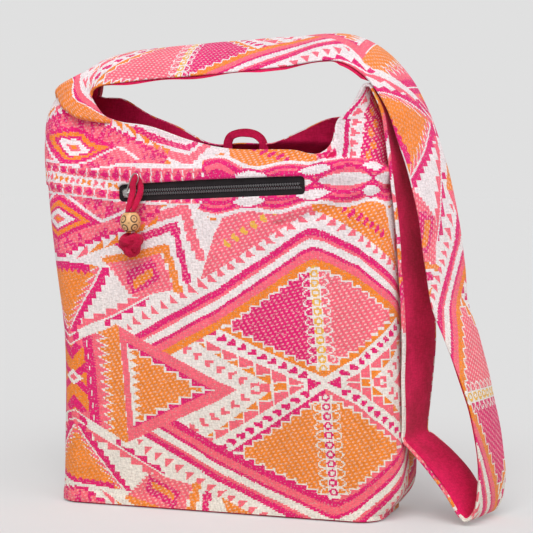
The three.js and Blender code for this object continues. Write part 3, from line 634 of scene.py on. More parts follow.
class Motif:
    """Paints the repeat: u runs along the weft from a lozenge's axis, v up from the crossing.

    Each layer gives what it paints over the ones before: where, in which colour, and the share of specks.
    """

    def __init__(self, u, v):
        self.comb = 1.1 * wave(u, COMB)
        u = (u + HALF_REPEAT_U) % (2 * HALF_REPEAT_U) - HALF_REPEAT_U
        v = (v + HALF_REPEAT_V) % (2 * HALF_REPEAT_V) - HALF_REPEAT_V
        self.u, self.v, self.au, self.av = u, v, np.abs(u), np.abs(v)
        self.left, self.upper = u < 0, v >= 0
        self.level = self.av + SLOPE * np.sqrt(self.au**2 + 40)
        self.arrow = self.au - self.av / ARROW_SLOPE
        self.from_b = HALF_REPEAT_U - self.au
        self.axis = HALF_REPEAT_V - self.av
        self.colour = np.full(u.shape, CREAM, np.int8)
        self.speck = np.zeros(u.shape)
        layers = (
            self.arrows, self.triangle, self.second_axis_bands, self.outer_ground, self.fields, self.hooks,
            self.orange_triangle, self.eye, self.upper_axis, self.chevrons, self.lozenge,
        )
        for layer in layers:
            for painted in layer():
                self.paint(*painted)

    def paint(self, mask, index, specks=0.0):
        self.colour[mask] = np.broadcast_to(index, mask.shape)[mask]
        self.speck[mask] = specks

    def arrows(self):
        au, av = self.au, self.av
        inner = self.level < 122
        centre = 21.3 + stepped(au - 16.2, 10.2)
        x, y = centre - au, av - (0.527 * centre - 1.4)
        heart = np.hypot((x - 2.0) / 3.0, y / 3.3) < 1
        heart |= np.hypot((x + 2.4) / 2.9, (y + 1.2) / 2.0) < 1
        heart |= (np.abs(x - 1.3) < 3.4) & between(y, -3.2, -0.5)
        yield inner & heart & between(centre, 20, 122), MAGENTA
        yield between(au, 3, 17) & (av < 0.42 * (au - 2)) & inner, MAGENTA
        corner = 38 + stepped(au - 38, 16.6)
        tread = 5.2 + 8.6 * (corner - 38) / 16.6
        clear = between(au, corner + 0.7, corner + 15.4)
        yield inner & clear & (av < 0.485 * (au - 17)) & (av > np.maximum(tread, 0.9)), SALMON
        yield inner & clear & between(av, 0.6 * (au - 51), tread - 1.7) & (corner > 30), ORANGE
        flag = 77.5 + stepped(au - 77.5, 11.4) + 11.4
        x, y = flag - au, 0.54 * flag - 36 - av
        shape = (x > 0) & (y > 0) & ((x < 9.4) & (y < 2.9) | (x < 4.7) & (y < 7.2))
        yield inner & shape & (flag > 75) & (av > 0.9) & (self.arrow < ARROW_EDGE), SALMON
        yield between(au, 57.5, 68) & (av < 4.2), SALMON

    def triangle(self):
        au, av, arrow = self.au, self.av, self.arrow
        yield between(arrow, ARROW_EDGE, 117) & (au < 217), SALMON
        yield (arrow >= 117) & (au < 209), MAGENTA
        outline = (au > 127) & (av < 0.51 * stepped(au - 127, 13.2) + 3.6) & (arrow > 120)
        field = (au > 129) & (av < 0.51 * stepped(au - 129, 13.2) + 1.8) & (arrow > 122)
        yield outline & (au < 209), CREAM
        yield field & (au < 197 + 9 * wave(self.v, ZIGZAG)), ORANGE, 0.5
        yield between(au, 116, 130) & (av < 0.8), CREAM

    def second_axis_bands(self):
        au, av, ub = self.au, self.av, self.from_b
        upright = self.level < BAND_TOP
        zig = wave(self.v, ZIGZAG)
        yield upright & between(au, 208, 215.5 - self.comb), SALMON
        yield upright & (au >= 215.5) & (au < 228 + 10 * zig), ORANGE, 0.5
        yield upright & between(au, 231 + 9 * zig, 246), SALMON
        yield upright & between(au, 244.5 - 2 * wave(self.v, COMB), 249), MAGENTA
        band = upright & (ub < 18)
        yield band, ORANGE
        yield band & (np.abs(av - 24 - ub) < 6), MAGENTA
        yield band & (np.abs(av - 0.75 * ub) < 4.5), MAGENTA
        yield ub + 1.5 * av < 12, CREAM
        yield ub + 1.7 * av < 6, SALMON
        yield band & (np.abs(av - 45 + 0.5 * ub) < 5), SALMON
        yield band & (np.abs(av - 51 + 0.5 * ub) < 1.6), CREAM
        yield upright & between(ub, 16.5, 20.5), MAGENTA

    def outer_ground(self):
        au, av = self.au, self.av
        outer = (self.level > 150) & (self.arrow < ARROW_EDGE) | (self.level >= BAND_TOP)
        yield outer, CREAM
        left = 3.1 + stepped(au - 3.1, 10.85) + 10.85
        x, y = left - au, av + SLOPE * left - SMALL_ROW
        small = (x > 0) & (y > 0) & (y < 9.4 * (1 - x / 10.2))
        yield outer & small & (au < 205), SALMON
        far = outer & (au > 178)
        left = 202.4 + stepped(au - 202.4, 12.2) + 12.2
        yield far & (self.level > 186.6) & (av + SLOPE * left < 196), SALMON
        below = outer & between(self.level, 177.5, 184.6)
        yield below & (self.from_b < 13), MAGENTA
        yield below & (self.from_b < 5), SALMON
        right = 182.4 + stepped(au - 182.4, 13.8)
        yield far & (self.level < 184.6) & (av + SLOPE * right > 176.5) & (au < 229), MAGENTA

    def fields(self):
        au, av = self.au, self.av
        beside = au < 96 - 0.44 * (av - 162)
        big = (self.level > 172.5) & (av < 180) & beside
        warm = self.left == self.upper
        yield big, np.where(warm, np.where(self.upper, SALMON, MAGENTA), ORANGE), 0.6
        at = part(au + 3, 9.5)
        middle = stepped(au + 3, 9.5) + 1.7
        along = np.where(warm, 197.6 - 0.6 * middle, 181 - 0.42 * middle)
        x, y = (at - 0.5) * 9.5, av - along
        gem = big & (np.hypot((x - 1.6) / 2.6, (y - 1) / 3.2) < 1)
        gem |= big & (np.hypot((x + 1.6) / 2.4, (y + 1.6) / 2.6) < 1)
        yield gem & between(au, 30, 90), np.where(warm, np.where(self.upper, YELLOW, ORANGE), MAGENTA)

    def hooks(self):
        au, av = stepped(self.au, 3.4) + 1.7, self.av
        wide = (self.level > 168) & between(self.au, 90, 236)
        for index, path, width in (
            (ORANGE, [(219, 121), (154, 138), (144.5, 99)], 8.5),
            (MAGENTA, [(206, 139), (142, 161), (134, 109)], 8),
            (SALMON, [(204, 156), (133, 179), (117, 132)], 10.5),
            (ORANGE, [(190, 169), (158, 183)], 8),
            (ORANGE, [(121, 188), (102, 172)], 9),
        ):
            yield wide & stroke(au, av, path, width), index, 0.35
        for index, corners in (
            (SALMON, [(221, 117.5), (160, 132.5), (149, 99), (195, 89)]),
            (MAGENTA, [(202, 112), (170, 127), (162, 109), (196, 92)]),
            (ORANGE, [(195, 106), (169, 119), (170, 111), (195, 97)]),
        ):
            yield wide & inside(au, av, corners), index, 0.5

    def orange_triangle(self):
        av, ub = self.av, self.from_b
        edge = 0.67 * (av - 47)
        foot = stepped(av - 62.4, 7.4) + 69.8
        tooth = (foot - av) / 7.4
        inner = between(av, 47, 113.5)
        yield inner & (ub > edge + 1.3) & (ub < 0.67 * (foot - 47) + 6.5), MAGENTA
        yield inner & (ub < edge - 0.6), SALMON
        yield inner & (ub < edge - 7.6 * tooth), CREAM
        yield inner & (ub < edge - 1.4 - 7.6 * tooth), ORANGE, 0.2
        yield (av < 113.5) & (av > 108 - 3.5 * wave(ub, 7)) & (ub < 34), MAGENTA

    def eye(self):
        u, v, av, ub = self.u, self.v, self.av, self.from_b
        line = 117.6 + SLOPE * stepped(ub, 8.0)
        reached = between(av, np.maximum(118, line), 183) & (ub < 110) & (self.level > 205)
        yield reached, MAGENTA
        ground = reached & (av > np.maximum(121, line + 4))
        yield ground, np.where(blotches(u, v) > 0.66, MAGENTA, SALMON), 0.3
        at = part(ub - 19, 15)
        rise = av - 106.5 - SLOPE * ub
        step = between(rise, 0, 8 * at) & between(ub, 19, 108)
        yield step, np.where(ub < 34, SALMON, ORANGE)
        reach = ub / 46 + np.abs(av - 158) / 23
        for size, index in ((1.04, MAGENTA), (0.82, ORANGE), (0.6, MAGENTA), (0.46, CREAM), (0.22, SALMON),
                            (0.12, ORANGE)):
            yield reach < size, index
        yield reached & stroke(ub, av, [(3, 185), (48, 160), (78, 178)], 3.2), CREAM

    def upper_axis(self):
        au, axis = self.au, self.axis
        far = (au > 118) & (axis < 16)
        yield far, CREAM
        yield far & between(axis, 5, 14), SALMON, 0.3
        at = part(au, 11.5)
        yield far & (np.abs(axis - 9.5) < 4 - 9 * np.abs(at - 0.45)) & (at > 0.2), MAGENTA
        yield far & (at < 0.1) & between(axis, 5, 14), CREAM
        bow = np.abs(part(au, 13.0) - 0.5) * 13
        pair = np.where(part(au, 26.0) < 0.5, ORANGE, SALMON)
        yield far & between(bow, 0.8, 5) & (axis < 0.8 * bow), pair
        near = au <= 118
        outer = 21 - 2.5 * np.cos(2 * math.pi * au / CHAIN)
        yield near & (axis < outer + 3.5), CREAM
        yield near & (axis < outer - self.comb), SALMON
        yield near & (np.abs(axis - outer + 4.5) < 1.8), MAGENTA
        swing = 12.5 * np.abs(np.sin(math.pi * au / CHAIN)) ** 0.8
        yield near & (axis < swing), SALMON
        yield near & (axis < 0.5 * swing), CREAM
        yield near & (np.abs(axis - swing) < 2), MAGENTA
        gap = np.abs((au + CHAIN / 2) % CHAIN - CHAIN / 2)
        lens = 5.6 * (1 - (gap / 18) ** 2)
        yield near & (np.abs(axis - 12) < lens + 1.6), MAGENTA
        yield near & (np.abs(axis - 12) < lens - self.comb), CREAM

    def chevrons(self):
        combed = self.level + self.comb
        side = self.arrow < ARROW_EDGE
        for low, high, index in ((150, 157, MAGENTA), (146.5, 150, SALMON), (138.5, 146.5, CREAM),
                                 (134.5, 138.5, MAGENTA), (126.5, 134.5, SALMON)):
            yield side & (combed > low) & (combed <= high), index
        border = np.where(self.upper, ORANGE, MAGENTA)
        yield side & (combed <= 126.5) & (self.level > 118), border

    def lozenge(self):
        au, av = self.au, self.av
        foot = av - 0.54 * au
        border = np.where(self.upper, ORANGE, np.where(self.left, MAGENTA, SALMON))
        yield (self.level < 121) & (foot > 5.5), border
        stair = SLOPE * (stepped(au + 4, 10.6) + 2)
        inset = SLOPE * (stepped(au + 5.4, 10.6) + 2)
        outline = (av - stair > 11) & (av + stair < 117.5) & (foot > 7) & (self.level < 119)
        field = (av - inset > 12.6) & (av + inset < 115.9) & (foot > 8.6) & (self.level < 117.5)
        half = np.where(self.upper, np.where(self.left, MAGENTA, SALMON), ORANGE)
        yield outline, CREAM
        yield field, half, np.where(half == SALMON, 0.7, 0.5)[field]
        along = (part(av, 9.4) - 0.5) * 9.4
        loop = np.hypot((au - 4.5) / 9.4, along / 4.9) < 1
        loop &= np.hypot((au - 4.5) / 7.9, along / 3.7) > 1
        yield outline & loop & (au > 4) & (av < 112), CREAM
        yield outline & (au < 5.2), CREAM
        ring = np.hypot(au / 4.6, along / 4.0)
        yield outline & between(ring, 0.5, 0.98), np.where(self.upper, YELLOW, MAGENTA)


PALETTE = 0.95 * np.array([
    CREAM_RGB, linear(232, 20, 112), linear(252, 106, 124), linear(248, 138, 42), linear(244, 186, 72),
])


def tints(u, v):
    """One colour with its speck share in the fourth place, for each point of cloth."""
    motif = Motif(u, v)
    return np.concatenate([PALETTE[motif.colour], motif.speck[..., None]], -1)


HORN_EDGE = [(340, 112), (360, 119), (378, 122), (404, 126), (418, 134), (438, 146), (470, 160)]


def horn_tints(s, t):
    """The right gusset, where the cloth is drawn up and its stripes follow the front edge."""
    off = (s - knots(t, HORN_EDGE)) * knots(t, [(340, 0.95), (400, 0.95), (440, 0.85)])
    colour = np.full(s.shape, CREAM)
    speck = np.zeros(s.shape)
    colour[between(off, 5, 10 + 0.8 * wave(t, COMB))] = MAGENTA
    at = part(t, 10.5)
    tooth = 10 * (1 - np.abs(2 * at - 1) ** 0.8)
    colour[between(off - 12.5, 0, tooth) & between(at, 0.12, 0.88)] = SALMON
    field = off > 24 + 1.5 * wave(t, 5)
    colour[field] = MAGENTA
    speck[field] = 0.8
    row, at = np.divmod((t + 0.5 * s) / 12.0, 1.0)
    gem = np.abs(at - 0.5) * 9 + np.abs(off - 33 - 4 * (row % 2)) < 4.4
    colour[field & gem] = ORANGE
    return np.concatenate([PALETTE[colour], speck[..., None]], -1)


def wall_cloth(s, t):
    """How the cloth lies on the front: a lean, a slight sag, the draw of the corners and the left horn."""
    axis = knots(t, [(0, 123), (137, 112), (280, 95), (337, 100), (420, 103)])
    crossing = knots(s, [(-240, 134), (-158, 131), (-120, 127.8), (-90, 126.4), (-40, 125.7), (0, 124.5),
                         (50, 129.4), (112, 137), (150, 139)])
    ends = 1 - smooth(t, 14, 34) + smooth(t, 225, 250)
    crossing = crossing + ends * knots(s, [(-158, 6), (-120, 4.5), (-90, 3), (0, 2), (50, 0)])
    drawn = knots(t, [(40, 1), (150, 0), (310, 0), (340, 0.3), (385, 1)])
    crossing = crossing + drawn * knots(s, [(-240, 18), (-200, 13), (-181, 9), (-158, 0)])
    turned = knots(t, [(0, 4), (250, 6), (330, 6), (360, 0), (390, -8)]) * (1 - smooth(s, -150, -110))
    v = t - crossing
    v = v + knots(s, [(-150, 6), (-112, -12), (0, -12), (40, 0)]) * smooth(v, 203, 232)
    return s + 0.6 * np.maximum(0, s - 145) - axis + turned, v


# Body panels: jacquard cloth, front and back, sewn at the sides
CELL = 1.4
CLOTH_BOTTOM, FOOT_SWELL = 2.0, 2.2
UPPER_ROWS, ROLL_ROWS = 26, 5
ROLL_RADIUS = 1.3
BACK_CROSSING = 137
ZIP_CENTRE = np.array([-10.0, -48.0, 325.5])
ZIP_TILT = math.radians(2.3)
ZIP_X = np.array([math.cos(ZIP_TILT), 0, math.sin(ZIP_TILT)])
ZIP_Y = np.array([0, 1.0, 0])
ZIP_Z = np.array([-math.sin(ZIP_TILT), 0, math.cos(ZIP_TILT)])
SLOT_LENGTH, SLOT_HEIGHT, SLOT_CORNER = 200.0, 18.4, 5.0
SLOT_BOW, LIP_DEPTH, LIP_DRAW = 1.4, 2.4, 0.5

# Folds of the cloth: the crest's line, half its width, its height
FRONT_CREASES = (
    ([(70, 297), (120, 312), (176, 330)], 7, 2.6), ([(96, 336), (140, 333), (180, 340)], 6, 1.8),
    ([(190, 345), (150, 354), (112, 358)], 7, 3.6), ([(-190, 352), (-140, 341), (-108, 338)], 6, 1.3),
    ([(-200, 330), (-150, 318), (-115, 313)], 6, 1.0),
)
BACK_CREASES = (
    ([(-60, 352), (-120, 330), (-178, 318)], 8, 2.2), ([(70, 350), (120, 335), (180, 330)], 7, 1.8),
)


def zip_place(x, y, z, origin=ZIP_CENTRE):
    """A point of the zip's own frame in the bag's: along the zip, into the bag, across the zip."""
    x, y, z = np.broadcast_arrays(x, y, z)
    return origin + x[..., None] * ZIP_X + y[..., None] * ZIP_Y + z[..., None] * ZIP_Z


def zip_local(points):
    return np.stack([(points - ZIP_CENTRE) @ ZIP_X, (points - ZIP_CENTRE) @ ZIP_Z], -1)


def crease(s, t, path, width, depth):
    """A fold along a bent line: its crest and the dip below it."""
    best = np.full(s.shape, 1e9)
    side = np.zeros(s.shape)
    for (ax, ay), (bx, by) in zip(path, path[1:]):
        dx, dy = bx - ax, by - ay
        at = np.clip(((s - ax) * dx + (t - ay) * dy) / (dx * dx + dy * dy), 0, 1)
        away = np.hypot(s - ax - at * dx, t - ay - at * dy)
        side = np.where(away < best, np.sign((t - ay) * dx - (s - ax) * dy), side)
        best = np.minimum(away, best)
    x = side * best / width
    return depth * (bell(x - 0.7) - 0.9 * bell(x + 0.7))


def front_folds(s, t):
    """How far the front's cloth stands out or in, in millimetres."""
    lift = 1.5 * ripple(s / 34, t / 46, 3) * smooth(t, 20, 90)
    lift += 0.6 * ripple(s / 13, t / 17, 5) * smooth(t, 250, 330)
    return lift + sum(crease(s, t, *row) for row in FRONT_CREASES)


def back_folds(s, t):
    lift = 1.1 * ripple(s / 36, t / 44, 11) * smooth(t, 20, 90)
    return lift + sum(crease(s, t, *row) for row in BACK_CREASES)


def front_colours(s, t):
    """The front's motif; the right gusset above its ridge has stripes of its own."""
    ridge = knots(s, [(105, 352), (125, 360), (150, 357), (180, 350)])
    gusset = (s > knots(t, [(340, 112), (360, 119)])) & (t > ridge)
    return np.where(gusset[..., None], horn_tints(s, t), tints(*wall_cloth(s, t)))


def back_colours(s, t):
    return tints(s + HALF_REPEAT_U, t - BACK_CROSSING)


def rows_to_rim(bottom, lower_count, upper_count, rim):
    """Heights of level rows up to the shoulder, and of rows that spread from there to the rim."""
    lower = np.repeat(np.linspace(bottom, SHOULDER, lower_count)[:, None], len(rim), 1)
    share = np.linspace(0, 1, upper_count + 1)[1:, None]
    return np.concatenate([lower, SHOULDER + share * (rim - SHOULDER)])


def panel_grid(facing):
    """Points of a body panel from the bottom seam over the rolled rim, and their place in the cloth."""
    along, across, nx, ny = panel_stations(facing, CELL)
    rim = cloth_rim(along, ny) - ROLL_RADIUS
    z = rows_to_rim(CLOTH_BOTTOM, round((SHOULDER - CLOTH_BOTTOM) / CELL) + 1, UPPER_ROWS, rim)
    swell = -FOOT_SWELL * (1 - smooth(z, 4, 16))
    points = wall_point(along, across, nx, ny, np.maximum(z, WALL_BOTTOM), swell)
    points[..., 2] = z
    turn = np.linspace(0, math.pi, ROLL_ROWS + 1)[1:, None]
    roll_z = np.broadcast_to(rim, (ROLL_ROWS, len(along)))
    roll = wall_point(along, across, nx, ny, roll_z, ROLL_RADIUS * (1 - np.cos(turn)))
    roll[..., 2] += ROLL_RADIUS * np.sin(turn)
    points = np.concatenate([points, roll])

    span = np.linalg.norm(np.diff(points[..., :2], axis=1), axis=-1)
    s = np.pad(np.cumsum(span, 1), ((0, 0), (1, 0)))
    off_middle = np.abs(points[..., 0]) + 1e3 * (np.sign(points[..., 1]) != facing)
    rows, middle = np.arange(len(s)), np.argmin(off_middle, axis=1)
    s = s - (s[rows, middle] - points[rows, middle, 0])[:, None]
    rise = np.linalg.norm(np.diff(points[..., 1:], axis=0), axis=-1)
    return points, s, CLOTH_BOTTOM + np.pad(np.cumsum(rise, 0), ((1, 0), (0, 0)))


def seam_dip(columns):
    """The panels draw in where they are sewn together at the sides."""
    from_edge = np.minimum(np.arange(columns), np.arange(columns)[::-1]) * CELL
    return -0.9 * bell(from_edge / 2.2)


def slot_edge(points):
    """Distance outside the zip's round-cornered window, its nearest edge point and the way in.

    The last two are along and across the zip.
    """
    local = zip_local(points)
    bow = SLOT_BOW * np.cos(ramp(np.abs(local[:, 0] - 15), 0, 115) * math.pi / 2) * (local[:, 1] > 0)
    half = np.stack([np.full(len(local), SLOT_LENGTH / 2), SLOT_HEIGHT / 2 + bow], -1)
    past = np.abs(local) - half + SLOT_CORNER
    corner = (past > 0).all(-1, keepdims=True)
    nearer = past == past.max(-1, keepdims=True)
    out = np.where(corner, unit(np.maximum(past, 1e-6)), nearer)
    edge = np.where(corner, half - SLOT_CORNER + SLOT_CORNER * out, np.where(nearer, half, np.abs(local)))
    away = np.linalg.norm(np.maximum(past, 0), axis=-1) + np.minimum(past.max(-1), 0) - SLOT_CORNER
    return away, edge * np.sign(local), -out * np.sign(local)


def cut_slot(points, faces, colour, cloth):
    """Takes the zip's window out of the front and turns its edge in."""
    centre = points[faces].mean(1)
    gone = (slot_edge(centre)[0] < 0) & (centre[:, 1] < 0)
    rim = np.intersect1d(faces[gone], faces[~gone])
    depth = points[rim, 1] - ZIP_CENTRE[1]
    _, edge, inward = slot_edge(points[rim])
    points[rim] = zip_place(edge[:, 0], depth, edge[:, 1])
    inner = edge + LIP_DRAW * inward
    inner = zip_place(inner[:, 0], depth + LIP_DEPTH, inner[:, 1])
    faces, colour = faces[~gone], colour[~gone]
    behind = np.full(len(points), -1)
    behind[rim] = len(points) + np.arange(len(rim))
    lip = {}
    beside = (behind[faces] >= 0).sum(1) >= 2
    for face, shade in zip(faces[beside], colour[beside]):
        for a, b in zip(face, np.roll(face, -1)):
            if behind[a] >= 0 and behind[b] >= 0 and lip.pop((b, a), None) is None:
                lip[a, b] = shade
    lip_faces = [(b, a, behind[a], behind[b]) for a, b in lip]
    return (np.concatenate([points, inner]), np.concatenate([faces, lip_faces]),
            np.concatenate([colour, list(lip.values())]), np.concatenate([cloth, cloth[rim]]))


def build_panel(name, facing, folds, colours):
    points, s, t = panel_grid(facing)
    rows, columns = s.shape
    lift = folds(s, t) * smooth(t, 6, 30) + seam_dip(columns)
    if facing < 0:
        past_slot = (np.abs(zip_local(points)) - [SLOT_LENGTH / 2, SLOT_HEIGHT / 2]).max(-1)
        lift = lift * smooth(past_slot, -1, 14) + 0.8 * bell((past_slot - 3) / 2.5)
    lift[-ROLL_ROWS - 1:] = lift[-ROLL_ROWS - 2]
    free = 1 - smooth(np.arange(rows), rows - 14, rows - ROLL_ROWS)
    points = points - facing * grid_normals(points) * (lift * free[:, None])[..., None]
    colour = colours(between_cells(s), between_cells(t)).reshape(-1, 4)
    faces = grid_faces(rows, columns)[:, ::-facing]
    panel = points.reshape(-1, 3), faces, colour, np.stack([s, t], -1).reshape(-1, 2)
    points, faces, colour, cloth = cut_slot(*panel) if facing < 0 else panel
    return make_mesh(name, points, faces, JACQUARD, colour, cloth)


front_panel = build_panel("front_panel", -1, front_folds, front_colours)
back_panel = build_panel("back_panel", 1, back_folds, back_colours)
finish_piece(front_panel, "bag", "jacquard", "body_shell")
finish_piece(back_panel, "bag", "jacquard")


# Strap: a jacquard strip with a crimson lining, one untwisted loop between the horns
STRAP_WIDTH = 64.0
STRAP_TOP = 468.0
LAYER_SEAM = 2.25
HORN_SEAM = np.array([0, 0, 0.3])
FOLD_RADIUS, FOLD_X, FOLD_Z = 5.5, -33, 422.5
FOLD_TURNS = [math.radians(200 - 36 * step) for step in range(6)]
EDGE_RADIUS, COVER_OUT, HEM_DROP = 1.1, 1.9, 0.9
FOOT_LENGTH, FOOT_LEAVE, FOOT_ARRIVE = 80.0, 1.05, 0.6
FOOT_OUTWARD = np.array([-0.35, -0.94, 0])
GUSSET_LENGTH, GUSSET_MIDDLE, GUSSET_OUT, GUSSET_LAP = 30.0, 125.0, 2.2, 6.0

# A stop holds the middle line's x from the right or left side and its z, the turn and tilt of the width in
# degrees, how far its edges bend in, and the middle line's y; what is left out is nought
RIGHT_STOPS = [
    (-28.5, RIGHT_HORN + 10, 0, 0, 18),
    *[(FOLD_X + FOLD_RADIUS * math.cos(a), FOLD_Z + FOLD_RADIUS * math.sin(a)) for a in FOLD_TURNS],
    (-15, RIGHT_HORN + 3, 6), (-8, RIM + 5, 9), (2, 310, 12), (9, 245, 15), (13, 185, 17), (11, 125, 13),
    (9.6, 92, 9), (9.4, 83, 9), (11, 79.5, 9, 1), (14.5, 77, 9, 3), (36, 57, 9, 8), (53, 37, 12, 8),
    (65, 17, 14, 5), (70, 8.5, 14), (73.5, 6, 14), (77.5, 8, 13), (83, 18, 12), (86, 42, 12), (84, 72, 10),
    (78, 113, 10, 0, 2), (69, 147, 14, 0, 3), (58, 180, 18, 0, 3), (46, 210, 20, 0, 2), (39, 252, 23, 0, 1),
    (32, 298, 23, 0, 1), (23, 340, 24, 0, 2), (13, RIM + 9, 24, 0, 3, -2), (4, STRAP_TOP - 63, 23, 3, 4, -4),
    (-9, STRAP_TOP - 37, 19, 12, 5, -6), (-30, STRAP_TOP - 14, 8, 24, 5, -6),
    (-65, STRAP_TOP + 2, 0, 27, 4, -4),
]
LEFT_STOPS = [
    (239, STRAP_TOP, 0, 31, 4), (154, STRAP_TOP - 5, 0, 34, 4), (79, STRAP_TOP - 8, 0, 34, 5),
    (40, STRAP_TOP - 10, 0, 33, 8), (8, LEFT_HORN + 46, 0, 29, 14), (-12, LEFT_HORN + 27, 0, 23, 23),
]
HORN_BLEND = 2 / (len(RIGHT_STOPS) + len(LEFT_STOPS) + 1)

# Where the left end's edge lies on the body: share of the width, place, and the way the cloth arrives there
FOOT = np.array([
    (-0.50, -123, -13, 393, 70, 12, -22), (-0.45, -124, -19, 394, 60, 4, -20),
    (-0.38, -139, -29.5, 396, 30, -8, -24), (-0.30, -162, -34, 399.5, 8, -10, -34),
    (-0.22, -176, -36, 409, -4, -10, -36), (-0.13, -188, -27.5, 426, -8, -6, -30),
])


def horn_ring(right, share):
    """The strap's end on a horn, from the side's front edge (share -0.5) to its back one."""
    k = (np.clip(share, -0.5, 0.5) + 0.5) * 8
    bend = np.radians(30 * (k - np.clip(k, 3, 5)))
    nx, ny = np.cos(bend) * (1 if right else -1), np.sin(bend)
    along = np.full(k.shape, float(right))
    return wall_point(along, np.clip(k - 4, -1, 1), nx, ny, rim_height(along, ny), LAYER_SEAM) + HORN_SEAM


def strap_lines(spacing):
    """Even steps along the strap's middle line: points, shares of the route, tangents, attitude, length."""
    ends = [horn_ring(right, np.zeros(1))[0] for right in (True, False)]
    stops = []
    for side, rows in ((HALF_WIDTH, RIGHT_STOPS), (-HALF_WIDTH, LEFT_STOPS)):
        stops += [(side + x, *rest, *[0] * (5 - len(rest))) for x, *rest in rows]
    stops = np.array(stops)
    route = catmull([ends[0], *stops[:, [0, 5, 1]], ends[1]])
    attitude = catmull([(0, 0, 31), *stops[:, 2:5], (0, 17, 31)])
    fine = np.linspace(0, 1, 4001)
    length = run_length(route(fine))
    steps = round(length[-1] / spacing)
    even = np.interp(np.linspace(0, length[-1], steps + 1), length, fine)
    near = 1e-4
    tangent = unit(route(np.minimum(1, even + near)) - route(np.maximum(0, even - near)))
    return route(even), even, tangent, attitude(even), length[-1]


def left_foot(points, left, shares):
    """The left end flows down over the body's corner as a soft roll, from the last stretch of plain strap."""
    start = int(np.argmax(left < FOOT_LENGTH))
    w = ramp(FOOT_LENGTH - left[start:], 0, FOOT_LENGTH)[:, None, None]
    leave = unit(points[start] - points[start - 4]) * FOOT_LENGTH * FOOT_LEAVE
    arrive = unit(points[-1] - points[-5]) * FOOT_LENGTH * FOOT_ARRIVE
    front = (1 - smooth(shares, -0.13, 0.06))[:, None]
    rest = np.stack([np.interp(shares, FOOT[:, 0], column) for column in FOOT[:, 1:].T], -1)
    last, arrive = lerp(points[-1], rest[:, :3], front), lerp(arrive, rest[:, 3:], front)
    flow = ((2 * w**3 - 3 * w**2 + 1) * points[start] + (w**3 - 2 * w**2 + w) * leave
            + (3 * w**2 - 2 * w**3) * last + (w**3 - w**2) * arrive)
    tuck = smooth(w, 0.55, 0.8) * 2.5 - smooth(w, 0.93, 1.0) * 8
    return np.concatenate([points[:start], flow + tuck * front * FOOT_OUTWARD])


def right_gusset(points, length, shares):
    """The right end rises straight from the body's horn, lapped over its edge, to the fold."""
    last = int(np.argmax(length > GUSSET_LENGTH))
    ring = horn_ring(True, shares)
    away = unit(ring * [1, 1, 0] - [GUSSET_MIDDLE, 0, 0])
    low = ring + away * GUSSET_OUT - [0, 0, GUSSET_LAP]
    w = ramp(length[:last], 0, GUSSET_LENGTH)[:, None, None]
    return np.concatenate([lerp(low, points[last], w), points[last:]])


def strap_surface(lines, shares):
    """Middle surface of the strap: rings along it, columns at the given shares of its width."""
    middle, even, tangent, pose, total = lines
    turn, tilt = np.radians(pose[:, 0]), np.radians(pose[:, 1])
    across = np.stack([np.sin(turn) * np.cos(tilt), np.cos(turn) * np.cos(tilt), np.sin(tilt)], -1)
    outward = unit(np.cross(across, tangent))
    bend = -pose[:, 2, None] * 4 * shares**2
    points = (middle[:, None] + across[:, None] * (shares * STRAP_WIDTH)[None, :, None]
              + outward[:, None] * bend[..., None])
    for right, way in ((True, even), (False, 1 - even)):
        moved = middle[:, None] + horn_ring(right, shares) - horn_ring(right, np.zeros(1))
        points = lerp(points, moved, (1 - ramp(way, 0, HORN_BLEND))[:, None, None])
    length = np.linspace(0, total, len(points))
    return left_foot(right_gusset(points, length, shares), total - length, shares)


def strap_columns(lines, shares, offsets):
    """Strap points at shares of the width and at distances out from the middle surface, both per ring."""
    cells = 80
    base = strap_surface(lines, np.linspace(-0.5, 0.5, cells + 1))
    normal = grid_normals(base)
    at = np.clip((shares + 0.5) * cells, -6, cells + 6)
    low = np.clip(np.floor(at).astype(int), 0, cells - 1)
    part_way = (at - low)[..., None]
    ring = np.arange(len(base))[:, None]
    points = lerp(base[ring, low], base[ring, low + 1], part_way)
    normals = unit(lerp(normal[ring, low], normal[ring, low + 1], np.clip(part_way, 0, 1)))
    return points + normals * offsets[..., None]


def strap_place(length, share):
    """The strap is cut along the weft, through the lozenges, with the motif's top at its front edge."""
    u = knots(length, [(0, -590), (500, -115), (615, 0), (705, 92), (770, 178), (893, 270), (1000, 340),
                       (1102, 442), (1172, 540), (1265, 638), (1300, 690), (1340, 738)])
    middle = knots(length, [(860, 84), (893, 76), (930, 52), (960, 40), (1030, 58), (1102, 67), (1172, 80),
                            (1265, 38), (1300, 10), (1340, -10)])
    return u, middle - STRAP_WIDTH * share


def strap_tints(length, share):
    """The strap's own repeat; its right end carries on the body's gusset."""
    gusset = horn_tints(126 + 130 * np.clip(share + 0.5, 0, 0.375), 398 + length)
    return np.where((length < 42)[..., None], gusset, tints(*strap_place(length, share)))


def hem_columns(side, hem):
    """An edge of the cover, rolled over and turned in: shares of the width and distances out, per ring."""
    columns = []
    for a in np.linspace(0, math.pi, 6)[1:]:
        share = side * (0.5 + EDGE_RADIUS * math.sin(a) / STRAP_WIDTH)
        columns.append((share + 0 * hem, COVER_OUT - EDGE_RADIUS * (1 - math.cos(a)) + 0 * hem))
    for k in (1, 2, 3):
        share = side * (0.5 - hem * k / 3 / STRAP_WIDTH)
        columns.append((share, COVER_OUT - 2 * EDGE_RADIUS - HEM_DROP + 0 * hem))
    return columns[::side]


